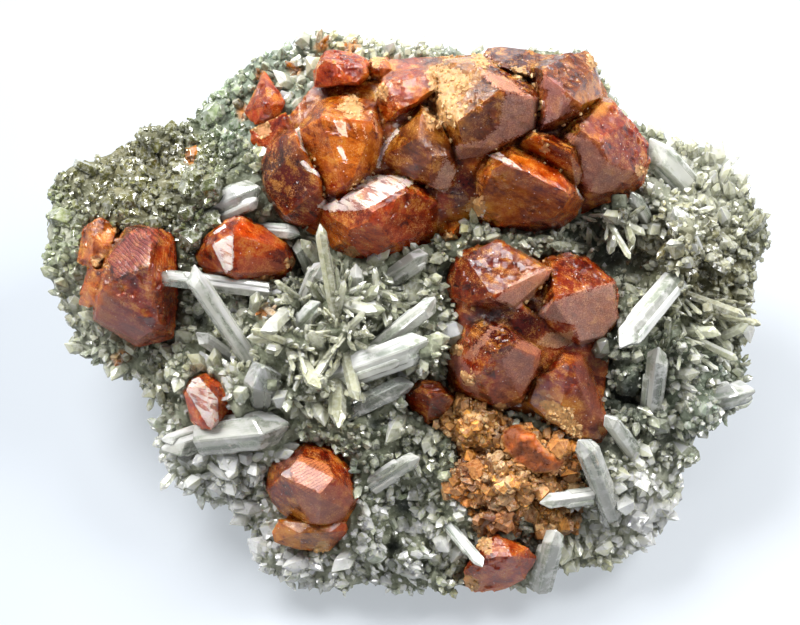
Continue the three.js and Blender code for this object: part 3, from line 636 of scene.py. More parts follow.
def prism_mesh(name, corners):
    """One mesh of many closed six-sided prisms, each with a six-sided point."""
    sides = [[i, (i + 1) % RING, RING + (i + 1) % RING, RING + i] for i in range(RING)]
    points = [[RING + i, RING + (i + 1) % RING, 2 * RING] for i in range(RING)]
    faces = [list(range(RING))[::-1]] + sides + points
    loops = np.array([corner for face in faces for corner in face])
    starts = np.concatenate([[0], np.cumsum([len(face) for face in faces])[:-1]])
    shift = np.arange(len(corners))[:, None]
    mesh = bpy.data.meshes.new(name)
    mesh.vertices.add(corners.size // 3)
    mesh.vertices.foreach_set("co", corners.astype(np.float32).ravel())
    mesh.loops.add(len(corners) * len(loops))
    mesh.loops.foreach_set("vertex_index", (shift * CORNERS + loops).ravel())
    mesh.polygons.add(len(corners) * len(faces))
    mesh.polygons.foreach_set("loop_start", (shift * len(loops) + starts).ravel())
    mesh.update(calc_edges=True)
    mesh.validate()
    return mesh


def bevel_edges(mesh, width):
    """Breaks every edge with a narrow facet that takes the second material."""
    body = bmesh.new()
    body.from_mesh(mesh)
    made = bmesh.ops.bevel(
        body, geom=body.edges[:], offset=width, segments=1, affect="EDGES", clamp_overlap=True,
    )
    for face in made["faces"]:
        face.material_index = 1
    body.to_mesh(mesh)
    body.free()


def toward_key(mesh):
    """How bright each face is: the more it is turned to the key light, the brighter."""
    return 0.85 + 0.4 * (face_centres(mesh)[1] @ KEY_WAY)


def spread_out(points, apart):
    """Which of the points to keep so that hardly any two are closer than apart."""
    keep = np.zeros(len(points), dtype=bool)
    taken = {}
    steps = list(itertools.product((-1, 0, 1), repeat=3))
    for i, (x, y, z) in enumerate(np.floor(points / apart).astype(int).tolist()):
        cells = [(x + dx, y + dy, z + dz) for dx, dy, dz in steps]
        others = [taken[cell] for cell in cells if cell in taken]
        keep[i] = all(np.sum((points[other] - points[i]) ** 2) >= apart ** 2 for other in others)
        if keep[i]:
            taken[x, y, z] = i
    return keep


def beside_prisms(points):
    """Which points are so near a large prism that a crystal there would hide it."""
    near = np.zeros(len(points), dtype=bool)
    for tip, root, across in HELD_PRISMS + [prism[1:] for prism in STANDING_PRISMS]:
        along, aside, _, length = along_prism(points, tip, root)
        near |= (along > 0.15 * length) & (along < length) & (aside < across * 0.62 * MM)
    return near


def in_scheelite(scheelites, start, reach):
    """Whether a point along a crystal is inside a scheelite, whose face over it looks away."""
    for share in (0.3, 0.65, 1.0):
        normal = scheelites.ray_cast(start + reach * share, FACE_OUT)[1]
        if normal is not None and normal.dot(FACE_OUT) > 0:
            return True
    return False


def zones_at(points):
    """How deep each point lies in each kind of zone. The fine crystals are at the upper left."""
    spots = spots_of(points)
    zones = {kind: in_zones(spots, places) for kind, places in CRUST_ZONES.items()}
    zones["fine"] = smooth_step(300, 180, spots[:, 0]) * smooth_step(300, 230, spots[:, 1])
    return zones


def crystal_axes(rng, tier, start, normal):
    """The way each crystal grows: off the surface, with a swirl that neighbours share."""
    swirl = np.stack([noise(start, 6 * MM, 40 + i) for i in range(3)], axis=1)
    axis = unit(normal + tier["lean"] * (0.9 * swirl + rng.normal(0, 0.38, (len(start), 3))))
    facing = (axis * normal).sum(1)
    return unit(axis + normal * np.clip(LEAST_FACING - facing, 0, 1)[:, None])


def crystal_sizes(rng, tier, zones, normal):
    """The length and the width of each crystal, in metres."""
    count = len(normal)
    length = (tier["length"][0] + np.ptp(tier["length"]) * rng.random(count) ** 1.6) * MM
    across = (tier["across"][0] + np.ptp(tier["across"]) * rng.random(count) ** 1.5) * MM
    edgewise = smooth_step(0.65, 0.2, normal @ FACE_OUT)
    length *= (1 - 0.4 * zones["fine"]) * (1 - 0.4 * edgewise)
    length *= (1 + 0.35 * zones["coarse"]) * (1 + 1.1 * zones["slender"])
    across *= 1 + 0.4 * zones["coarse"]
    across *= (1 - 0.38 * zones["slender"]) * (1 + 0.25 * zones["fine"])
    return length, across


def has_room(start, axis, length, zones, scheelites):
    """Which crystals stay in the specimen's box and clear of hollows, prisms and scheelites."""
    tips = start + axis * length[:, None]
    low, high = np.array(cad_box[0]) - BOX_MARGIN, np.array(cad_box[1]) + BOX_MARGIN
    free = np.all((tips > low) & (tips < high), axis=1) & (tips[:, 2] > LEAST_TIP_HEIGHT)
    free &= zones["hollow"] < 0.35
    free &= ~beside_prisms(start + axis * (0.6 * length)[:, None])
    for i in np.flatnonzero(free):
        free[i] = not in_scheelite(scheelites, start[i], axis[i] * length[i])
    return free


def crystal_tones(rng, start, zones):
    """The colour of each crystal of the crust: some whiter than the patch they grow on, and brighter with
    painted light over the lower part of the face.
    """
    fine, count = zones["fine"], len(start)
    patch = noise(start, 8 * MM, 50) + 0.6 * noise(start, 3.5 * MM, 51)
    tones = crust_tones(start) * (1 + noise(start, 10 * MM, 52)[:, None] * HUE_SPREAD)
    whiteness = 0.1 + 0.9 * rng.random(count) + 0.3 * zones["coarse"] + 0.3 * patch
    tones = blend(tones, CRYSTAL, np.clip(whiteness * (1 - 0.85 * fine), 0, 1))
    # Painted light: the crystals brighter in the bright zones of the lower part of the face
    gain = (1 + 0.25 * patch) * (1 - 0.4 * fine) * (1 + 1.1 * zones["bright"])
    tones = tones * gain[:, None] * CRUST_TINT ** (1 + 4 * fine)[:, None]
    return blend(tones, IRON_ORANGE, stain_share(start) * (rng.random(count) < 0.75))


def crust_pieces(rock, scheelites, materials):
    """Grows each tier of crystals over the rock, as one piece."""
    rng = np.random.default_rng(CRUST_SEED)
    centres, normals, areas = face_centres(rock)
    wanted = areas * smooth_step(-0.75, 0.25, normals @ FACE_OUT)
    wanted[centres[:, 2] < BARE_FOOT] = 0
    for number, tier in enumerate(CRUST_TIERS):
        picked = rng.choice(len(centres), tier["count"] * 3, p=wanted / wanted.sum())
        start = centres[picked] + rng.normal(0, ROOT_SCATTER, (len(picked), 3))
        kept = np.flatnonzero(spread_out(start, tier["apart"] * MM))[:tier["count"]]
        start, normal = start[kept], normals[picked[kept]]
        axis = crystal_axes(rng, tier, start, normal)
        zones = zones_at(start)
        length, across = crystal_sizes(rng, tier, zones, normal)
        start = start - normal * np.minimum(tier["sunk"] * across, 0.3 * length)[:, None]
        free = has_room(start, axis, length, zones, scheelites)
        start, axis, length, across = start[free], axis[free], length[free], across[free]
        zones = {kind: share[free] for kind, share in zones.items()}
        count = len(start)
        corners = prism_points(
            start, axis, length, across,
            turn=rng.random(count) * math.pi,
            flat=0.7 + 0.3 * rng.random(count),
            point_share=0.7 + 0.4 * rng.random(count),
            slant=rng.normal(0, 0.14, count),
        )
        mesh = prism_mesh(f"crust_{number}", corners)
        tones = np.repeat(crystal_tones(rng, start, zones), CORNERS, axis=0)
        # Painted light: each face lighter the more it turns to the key light, and lighter or darker at
        # random as painted glints
        facets = np.exp(rng.normal(0.0, 0.27, len(mesh.polygons))) * toward_key(mesh)
        paint_faces(mesh, tones, np.tile(CORNER_SHADE_GAINS, count), facets)
        if number < BEVELLED_TIERS:
            bevel_edges(mesh, CRUST_BEVEL)
        add_piece(f"crust_{number}", mesh, materials)


# Scheelite colours, and where each lies: pixel and radius in pixels. SHEEN_MAUVE is a painted reflection of
# the pale sky over the orange
GARNET = linear("5e1208")
RUST = linear("93300c")
FLAME = linear("b9480e")
AMBER = linear("c1701c")
HONEY = linear("c4872c")
TAN = linear("b08450")
# A painted reflection of the pale sky over the orange
SHEEN_MAUVE = linear("96564a")
BROWN = linear("7d3f16")
GOLD = linear("d39d5c")
SPARKLE = linear("fff0dd")
SUGAR = linear("e2c797")
SCHEELITE_TONES = [
    ((285, 185), 26, GARNET), ((318, 212), 16, RUST), ((345, 138), 34, AMBER),
    ((328, 190), 16, RUST), ((340, 66), 22, FLAME), ((382, 68), 14, AMBER),
    ((404, 90), 20, FLAME), ((384, 92), 8, TAN), ((462, 84), 24, TAN), ((452, 112), 16, TAN),
    ((492, 108), 24, BROWN), ((515, 122), 18, SHEEN_MAUVE), ((428, 124), 16, HONEY),
    ((415, 158), 26, BROWN), ((375, 228), 34, FLAME), ((425, 216), 20, RUST),
    ((332, 236), 14, AMBER), ((520, 190), 30, AMBER), ((482, 212), 14, HONEY),
    ((530, 222), 22, RUST), ((545, 176), 18, FLAME), ((572, 72), 22, BROWN),
    ((592, 96), 12, HONEY), ((552, 108), 18, SHEEN_MAUVE), ((600, 172), 24, SHEEN_MAUVE),
    ((625, 146), 22, RUST), ((566, 140), 12, GARNET), ((512, 58), 20, GARNET),
    ((450, 236), 16, AMBER), ((468, 190), 12, GARNET), ((262, 140), 12, FLAME),
    ((492, 276), 28, RUST), ((528, 268), 14, AMBER), ((584, 300), 26, RUST),
    ((598, 316), 18, SHEEN_MAUVE), ((500, 332), 18, GARNET), ((480, 358), 20, RUST),
    ((520, 366), 18, SHEEN_MAUVE), ((458, 350), 12, SHEEN_MAUVE), ((556, 378), 16, RUST),
    ((556, 412), 16, HONEY), ((594, 404), 18, SHEEN_MAUVE), ((428, 400), 20, RUST),
    ((140, 310), 30, RUST), ((132, 254), 22, GARNET), ((170, 268), 18, FLAME),
    ((98, 240), 20, AMBER), ((97, 290), 16, AMBER), ((250, 245), 30, FLAME),
    ((208, 262), 18, RUST), ((262, 272), 18, RUST), ((218, 400), 18, FLAME),
    ((300, 470), 20, RUST), ((335, 475), 18, RUST), ((318, 508), 16, SHEEN_MAUVE),
    ((310, 538), 24, HONEY), ((340, 535), 10, FLAME), ((490, 562), 20, FLAME),
    ((474, 582), 12, AMBER), ((524, 560), 14, FLAME), ((264, 98), 22, FLAME),
]
# Where granular scheelite covers the crystals: pixel and radius in pixels
CRUST_PATCHES = [
    ((452, 84), 22), ((446, 108), 18), ((384, 95), 9), ((436, 76), 10), ((456, 350), 8),
    ((556, 414), 17), ((574, 430), 12), ((262, 284), 12), ((290, 262), 5), ((448, 246), 12),
    ((420, 262), 8), ((350, 256), 8), ((486, 545), 9), ((470, 584), 9), ((596, 60), 9),
    ((350, 108), 12), ((430, 118), 10), ((118, 232), 5), ((500, 410), 8), ((320, 550), 8),
    ((480, 62), 8), ((520, 74), 9), ((476, 208), 10), ((468, 378), 7), ((262, 130), 9),
    ((302, 64), 6), ((375, 62), 8), ((545, 148), 6), ((640, 170), 7), ((96, 262), 7),
]
# Patches of the crystals' faces with frost and painted reflection: the colour of each and its outline in
# pixels. The white ones are painted highlights, the others frost with a painted reflection of the sky
FROST_AND_SHEEN_PATCHES = [
    ("bd988a", [(492, 299), (510, 283), (541, 268), (555, 267), (547, 281), (535, 288), (534, 300),
                (517, 310)]),
    ("b4968e", [(534, 316), (552, 300), (614, 281), (619, 321), (601, 337), (581, 347), (573, 324)]),
    ("b89c80", [(537, 343), (546, 333), (574, 330), (574, 344), (556, 349)]),
    ("a8756a", [(499, 359), (521, 341), (542, 352), (535, 372), (521, 396), (510, 380)]),
    ("93655f", [(447, 359), (455, 347), (464, 358), (479, 373), (480, 398), (466, 391)]),
    ("9c7468", [(464, 356), (490, 327), (504, 324), (483, 347), (471, 363)]),
    ("784139", [(573, 352), (579, 351), (594, 387), (604, 420), (586, 413), (576, 380)]),
    ("8e4038", [(108, 258), (134, 229), (158, 226), (158, 240), (146, 264), (118, 280)]),
    ("875047", [(106, 293), (160, 335), (134, 347), (110, 339), (93, 318)]),
    ("fbf6f0", [(212, 244), (234, 233), (233, 269), (226, 273)]),
    ("fbf6f0", [(214, 233), (226, 225), (228, 229), (215, 236)]),
    ("8f4a34", [(236, 254), (274, 258), (287, 266), (267, 277), (235, 272)]),
    ("f3e6de", [(187, 390), (192, 380), (200, 378), (217, 399), (218, 424), (210, 429), (200, 412)]),
    ("e6d5cb", [(316, 206), (329, 194), (339, 201), (370, 176), (403, 176), (415, 184), (403, 189),
                (384, 200), (365, 210), (332, 212)]),
    ("b08f8a", [(505, 90), (539, 98), (535, 128), (506, 141), (481, 156), (456, 160), (450, 147),
                (480, 139), (500, 122), (502, 104)]),
    ("a07678", [(544, 75), (562, 84), (571, 110), (552, 122), (538, 132), (546, 113), (547, 91), (541, 86)]),
    ("9c6f63", [(561, 131), (591, 140), (609, 163), (635, 172), (613, 190), (594, 196), (583, 181),
                (581, 157)]),
    ("ab9088", [(446, 154), (456, 172), (445, 193), (430, 184), (439, 172)]),
    ("fbf6f0", [(476, 210), (487, 207), (483, 218)]),
    ("efdccf", [(295, 130), (300, 127), (304, 150), (311, 159), (300, 148)]),
    ("fbf0e4", [(300, 161), (304, 160), (320, 175), (320, 179), (306, 169)]),
    ("efe0d8", [(375, 167), (382, 144), (398, 128), (400, 131), (387, 147), (379, 169)]),
    ("efe0d8", [(484, 154), (500, 153), (524, 171), (512, 168), (497, 160)]),
    ("f6ece4", [(574, 187), (577, 186), (583, 199), (580, 200)]),
    ("c98f74", [(478, 69), (512, 82), (530, 98), (505, 92), (486, 82)]),
    ("f6dfc4", [(333, 120), (345, 122), (348, 138), (339, 133)]),
    ("eccda6", [(351, 121), (354, 121), (358, 137), (355, 138)]),
    ("eccda6", [(362, 124), (365, 124), (368, 140), (365, 141)]),
    ("e2c0a4", [(369, 111), (372, 111), (378, 133), (374, 134)]),
    ("f3dccb", [(336, 147), (341, 146), (348, 161), (343, 159)]),
    ("93523f", [(297, 500), (320, 483), (348, 485), (356, 500), (340, 522), (312, 524)]),
    ("c07a56", [(290, 470), (300, 455), (330, 467), (333, 480), (312, 495), (295, 485)]),
]
# Striped faces: the way across the stripes, their spacing in pixels, and the outline of each
STRIPED_FACES = [
    ((0.65, -0.76), 3.8, [(104, 262), (134, 226), (160, 223), (160, 242), (146, 268), (116, 284)]),
    ((1.0, 0.05), 2.6, [(152, 264), (176, 238), (178, 298), (167, 338), (152, 307)]),
    ((0.5, 0.86), 3.0, [(290, 470), (300, 455), (330, 467), (333, 480), (312, 495), (295, 485)]),
]
DEEPENING = np.array([0.98, 0.7, 0.28])
FROST_AND_SHEEN_WARMTH = np.array([1.0, 0.9, 0.78])
# The green and blue that the painted shade in crevices takes away
CREVICE_SHADE_LOSS = np.array([0.0, 0.5, 0.8])
TONE_SHARPNESS = 1.6
LEAST_WEIGHT = 1e-6
STEP_SIZE = 3.2 * MM
STEP_HEIGHT = 0.17
STEPS = 2.5
STEP_WAY = (0.4, 0.8, 0.3)
SCHEELITE_NET = 0.34 * MM
SKY_REACH = 5 * MM
SHARP_ANGLE = math.radians(26)
CRUMBS_PER_FACE = 0.07
LEAST_ROUGH_FACES = 20


def scheelite_tones(points):
    """The colour of the scheelite at each point, between patches with wandering borders."""
    wander = 5 * np.stack([noise(points, 3 * MM, 60 + i) for i in range(2)], axis=1)
    spots = spots_of(points) + wander
    return patchwork(spots, SCHEELITE_TONES, RUST, LEAST_WEIGHT, TONE_SHARPNESS)


def crust_share(points):
    """How much granular scheelite covers each point, with ragged borders."""
    spots = spots_of(points)
    share = np.zeros(len(points))
    ragged = 0.45 * noise(points, 1.6 * MM, 70) + 0.35 * noise(points, 0.7 * MM, 71)
    for place, radius in CRUST_PATCHES:
        near = 1 - np.linalg.norm(spots - place, axis=1) / radius
        share = np.maximum(share, near + ragged * (near > -0.4))
    return share


def frost_and_sheen_share(spots):
    """How much frost and painted reflection each spot has, from 0 to 1, and their colour there. The white
    patches are painted highlights, with crisp borders.
    """
    share = np.zeros(len(spots))
    tones = np.tile(SHEEN_MAUVE, (len(spots), 1))
    for code, outline in FROST_AND_SHEEN_PATCHES:
        softness = 3 if linear(code).min() > 0.5 else 10
        inside = np.clip(0.5 + within(spots, outline) / softness, 0, 1)
        tones[inside > share] = linear(code)
        share = np.maximum(share, inside)
    return share, tones


def stripes(spots):
    """The number of the stripe that each spot lies on, and how marked the stripes are there."""
    phase, share = np.zeros(len(spots)), np.zeros(len(spots))
    for way, spacing, outline in STRIPED_FACES:
        inside = np.clip(0.5 + within(spots, outline) / 6, 0, 1)
        phase = np.where(inside > share, spots @ np.array(way) / spacing, phase)
        share = np.maximum(share, inside)
    return phase, share


def shaded_tones(points, facet, second, edge, free):
    """The colours of a scheelite: by place, with painted reflection by face, golden at the edges as wear and
    as painted light through thin edges, with painted shade in crevices, and painted darker on faces turned
    to the key light.
    """
    # Golden at the edges: wear, and painted light through the thin edges
    tones = blend(scheelite_tones(points), HONEY, 0.4 * edge)
    # Painted reflection: each face lighter or darker at random
    tones = tones * (0.76 + 0.42 * second)[:, None] * DEEPENING
    # Painted shade: darker and redder where less of the sky is open
    shade = smooth_step(0.25, 0.95, free)[:, None]
    tones = tones * (0.36 + 0.64 * shade) * (1 - (1 - shade) * CREVICE_SHADE_LOSS)
    # Painted light: faces turned to the key light painted darker, so that the faces turned away glow
    lit = smooth_step(0.2, 1.0, facet @ KEY_WAY)
    return np.clip(tones * (1 - 0.5 * lit)[:, None], 0, 1)


def scheelite_piece(name, materials, everything):
    """A scheelite with the flat faces of its solid, stepped, chipped and partly granular."""
    source = solid_copy(name)
    tree = tree_of(source)
    mesh = sharp_net(source, SCHEELITE_NET)
    points, normals, pairs = get_points(mesh), get_normals(mesh), edge_pairs(mesh)
    facet, chance = facet_normals(tree, points, normals)
    second = (chance * 7.31) % 1
    bend = 1 - np.abs((normals * facet).sum(1))
    edge = np.clip(blurred(bend, pairs, 3) * 5, 0, 1)
    free = blurred(openness(everything, points, normals, SKY_REACH), pairs, 2)
    # Growth steps: flat terraces with low cliffs, drawn out along each face
    drift = unit(np.cross(facet, unit(np.array(STEP_WAY))))
    along = (points * drift).sum(1)
    stretched = points - drift * (along * 0.7)[:, None] + chance[:, None] * 0.05
    field = noise(stretched, STEP_SIZE, 80) + 0.5 * noise(stretched, STEP_SIZE / 2, 81)
    terrace = np.round(field * STEPS) / STEPS
    stepped = smooth_step(0.45, 0.6, chance)
    # Granular places, nicked edges, patches of frost and painted reflection, and broken ones
    crust = crust_share(points)
    grain = noise(points, 0.8 * MM, 90) * smooth_step(0, 0.25, crust)
    nicks = smooth_step(0.1, 0.6, noise(points, 1.1 * MM, 91)) * smooth_step(0.1, 0.5, edge)
    spots = spots_of(points)
    toward = smooth_step(0.0, 0.15, facet @ FACE_OUT)
    frost_and_sheen, frost_and_sheen_tones = frost_and_sheen_share(spots)
    frost_and_sheen = frost_and_sheen * toward
    broken = chipped(points, 1.6 * MM, 0.16, 92) / MM * smooth_step(-0.1, 0.4, noise(points, 5 * MM, 93))
    rise = 0.1 + STEP_HEIGHT * terrace * (1 - edge) * stepped + 0.25 * grain - 0.08 * edge - 0.25 * nicks
    rise += np.clip(broken, -0.25, 0.25) * (1 - 0.8 * smooth_step(0.2, 0.6, frost_and_sheen))
    rise += 0.12 * smooth_step(0.35, 0.6, frost_and_sheen)
    set_points(mesh, points + facet * (rise * MM)[:, None])
    # What the material reads: colours with painted shade and reflection, places along the grain, polish,
    # frost and painted reflection, stripes, and painted highlights
    paint(mesh, shaded_tones(points, facet, second, edge, free))
    paint(mesh, stretched / MM, "grain_place")
    phase, striped = stripes(spots)
    polish = stepped * (0.6 + 0.4 * second)
    paint(mesh, np.stack([polish, frost_and_sheen, striped * toward], axis=1), "polish_sheen_and_stripes")
    phase = phase + 0.5 * noise(points, 2.5 * MM, 95) + 0.25 * noise(points, 0.9 * MM, 96)
    # The white patches are painted highlights; the others a painted reflection of the sky, warmed
    painted_highlight = frost_and_sheen_tones.min(1) > 0.5
    opacity = np.where(painted_highlight, 0.95, 0.64)
    paint(mesh, np.stack([phase, opacity, painted_highlight.astype(float)], axis=1), "stripes_and_highlights")
    paint(mesh, np.where(painted_highlight[:, None], frost_and_sheen_tones, frost_and_sheen_tones * FROST_AND_SHEEN_WARMTH), "frost_and_sheen_tone")
    glassy = name.replace("scheelite", "glassy")
    add_piece(glassy, mesh, materials, replaced=name, smooth=True)
    mesh.set_sharp_from_angle(angle=SHARP_ANGLE)
    granular = crust[first_vertices(mesh)] > 0.12
    mesh.polygons.foreach_set("material_index", granular.astype(int))
    crevice = smooth_step(0.8, 0.4, free) * (noise(points, 2 * MM, 94) > 0.2)
    rough = np.maximum(smooth_step(0.05, 0.4, crust), 0.3 * crevice)
    if rough.sum() > LEAST_ROUGH_FACES:
        count = int(rough.sum() * CRUMBS_PER_FACE)
        crumbs = name.replace("scheelite", "crumbs")
        crumb_piece(crumbs, mesh, rough, count, (0.3, 0.9), materials[1], 6, whiter=0.7)


# An orange slab on the granular mass: its outline in pixels
SLAB = [
    (500, 428), (520, 424), (536, 436), (548, 452), (566, 458), (560, 470), (536, 472), (516, 462),
    (504, 446),
]
# Colours of the granular mass and where each lies: pixel and radius in pixels. The mauve one is a painted
# reflection
GRANULAR_TONES = [
    ((575, 455), 18, AMBER), ((470, 425), 22, HONEY), ((470, 470), 18, BROWN),
    ((520, 492), 22, GOLD), ((500, 511), 13, SHEEN_MAUVE), ((555, 512), 16, HONEY),
    ((462, 500), 16, AMBER), ((500, 535), 16, RUST),
]
GRANULAR_NET = 0.35 * MM
LEDGE_HEIGHT = 1.1
LAYER_STRETCH = np.array([0.75, 1.1, 0.6]) * 0.165 * MM
# Grains on the granular mass: the name of each kind, how many, their size in millimetres, a seed
GRAIN_TIERS = [
    ("blocks", 130, (1.8, 3.4), 5), ("lumps", 420, (1.0, 1.9), 6), ("crumbs", 1500, (0.35, 1.0), 7),
]


def granular_piece(material):
    """The granular mass: layered ledges with a smooth slab, and grains of three sizes on them."""
    mesh = remeshed(solid_copy(GRANULAR), GRANULAR_NET)
    points, normals = get_points(mesh), get_normals(mesh)
    places = to_face(points)
    relief = 0.5 * noise(points, 2.4 * MM, 100) + 0.4 * noise(points, 1.0 * MM, 101)
    ledges = np.round(places[:, 2] / LEDGE_HEIGHT + 0.4 * noise(points, 3 * MM, 102))
    relief += 0.12 * ((ledges % 2) * 2 - 1)
    relief += np.clip(chipped(places * LAYER_STRETCH, 2.2 * MM, 0.5, 104) / MM, -0.9, 0.9)
    edge = within(places[:, :2], SLAB)
    slab = smooth_step(-1.5, 1.5, edge)
    relief += slab * (0.6 - 0.5 * relief)
    set_points(mesh, points + normals * (relief * 0.8 * MM)[:, None])
    tones = np.tile(TAN * 0.62, (len(points), 1))
    for place, radius, tone in GRANULAR_TONES:
        tones = blend(tones, tone, nearness(places[:, :2], place, radius) * 0.8)
    patch = smooth_step(-0.2, 0.5, noise(points, 1.5 * MM, 103))[:, None]
    tones = tones * (0.75 + 0.5 * patch)
    tones = blend(tones, (FLAME + AMBER) / 2 * (0.6 + 0.6 * patch), slab * 0.85)
    tones = blend(tones, GOLD * 0.9, smooth_step(3.5, 1, np.abs(edge - 1)) * 0.6)
    paint(mesh, np.clip(tones, 0, 1))
    add_piece(
        "granular_ledges", mesh, [material], replaced=GRANULAR, smooth=True,
    )
    for kind, count, size, seed in GRAIN_TIERS:
        crumb_piece(f"granular_{kind}", mesh, 1 - slab, count, size, material, seed)


def crumb_piece(name, mesh, share, count, size, material, seed, whiter=0.4):
    """Small blunt grains grown over part of a mesh, coloured nearly as the mesh is under them."""
    rng = np.random.default_rng(seed)
    centres, normals, areas = face_centres(mesh)
    first = first_vertices(mesh)
    wanted = areas * np.clip(share[first], 0, 1) * (normals @ FACE_OUT > -0.2)
    picked = rng.choice(len(centres), count, p=wanted / wanted.sum())
    axis = unit(normals[picked] + rng.normal(0, 0.6, (count, 3)))
    length = rng.uniform(*size, count) * MM
    corners = prism_points(
        centres[picked] - axis * (0.45 * length)[:, None], axis, length,
        length * rng.uniform(0.7, 1.3, count), turn=rng.random(count) * math.pi,
        flat=rng.uniform(0.6, 1, count), point_share=rng.uniform(0.3, 0.6, count),
        slant=rng.normal(0, 0.2, count),
    )
    tones = read(mesh.color_attributes["tone"].data, "color", 4)[first[picked], :3]
    tones = blend(tones, rng.choice(np.array([TAN, HONEY, GOLD, SUGAR]), count), whiter)
    crumbs = prism_mesh(name, corners)
    # Painted light: each face of a grain lighter or darker at random, as glints on its facets
    light = np.exp(rng.normal(0, 0.3, len(crumbs.polygons)))
    paint_faces(crumbs, np.repeat(tones, CORNERS, axis=0), np.ones(len(crumbs.vertices)), light)
    add_piece(name, crumbs, [material])


# Large prisms: which sides the thin crystals grow on, the prisms' white and their bevel's share
THIN_SIDES = (1, -1, 1)
PRISM_WHITE = linear("fbfbf2")
PRISM_BEVEL = 0.035
GRAIN_STRETCH = 0.9


def large_prisms(clear, milky, edges):
    """The prisms of the CAD source, cut as clear and milky crystals, standing and held ones."""
    for name, tip, root, across in STANDING_PRISMS:
        quartz = milky if name in MILKY_PRISMS else clear
        one_prism(name.replace("quartz", "clear"), tip, root, across, [quartz, edges], name)
    for i, (tip, root, across) in enumerate(HELD_PRISMS):
        one_prism(f"held_prism_{i + 1}", tip, root, across, [milky, edges])


def one_prism(name, tip, root, across, materials, replaced=None):
    """A quartz crystal with thinner and shorter ones grown along its sides."""
    start, end = on_face(root), on_face(tip)
    length = np.linalg.norm(end - start)
    axis = (end - start) / length
    width = across * MM
    rng = np.random.default_rng(int(across * 100 + tip[0]))
    beside = unit(np.cross(axis, FACE_OUT))
    starts, lengths, widths = [start], [length], [width]
    for way in THIN_SIDES:
        aside = beside * way * rng.uniform(0.22, 0.36) + FACE_OUT * rng.uniform(-0.15, 0.25)
        starts.append(start + aside * width)
        lengths.append(length * rng.uniform(0.5, 0.93))
        widths.append(width * rng.uniform(0.4, 0.62))
    count = len(starts)
    # One side is turned to throw the key light towards the viewer
    halfway = unit(FACE_OUT + KEY_WAY)
    side, other = side_axes(axis[None])
    turn = math.atan2(halfway @ other[0], halfway @ side[0]) - math.pi / RING
    corners = prism_points(
        np.array(starts), np.tile(axis, (count, 1)), np.array(lengths), np.array(widths),
        turn=turn + rng.uniform(-0.12, 0.12, count), flat=np.ones(count),
        point_share=0.75, slant=rng.normal(0, 0.12, count),
    )
    mesh = prism_mesh(name, corners)
    body = blend(crust_tones(start[None]), PRISM_WHITE, 0.95)
    # Painted light: each face lighter the more it turns to the key light, and lighter or darker at random as
    # glints
    light = np.exp(rng.normal(-0.05, 0.25, len(mesh.polygons))) * (toward_key(mesh) * 1.2 - 0.15)
    paint_faces(mesh, np.tile(body, (len(mesh.vertices), 1)), np.ones(len(mesh.vertices)), light)
    bevel_edges(mesh, PRISM_BEVEL * width)
    points = get_points(mesh)
    paint(mesh, (points - GRAIN_STRETCH * (points @ axis)[:, None] * axis) / MM, "grain_place")
    add_piece(name, mesh, materials, replaced)


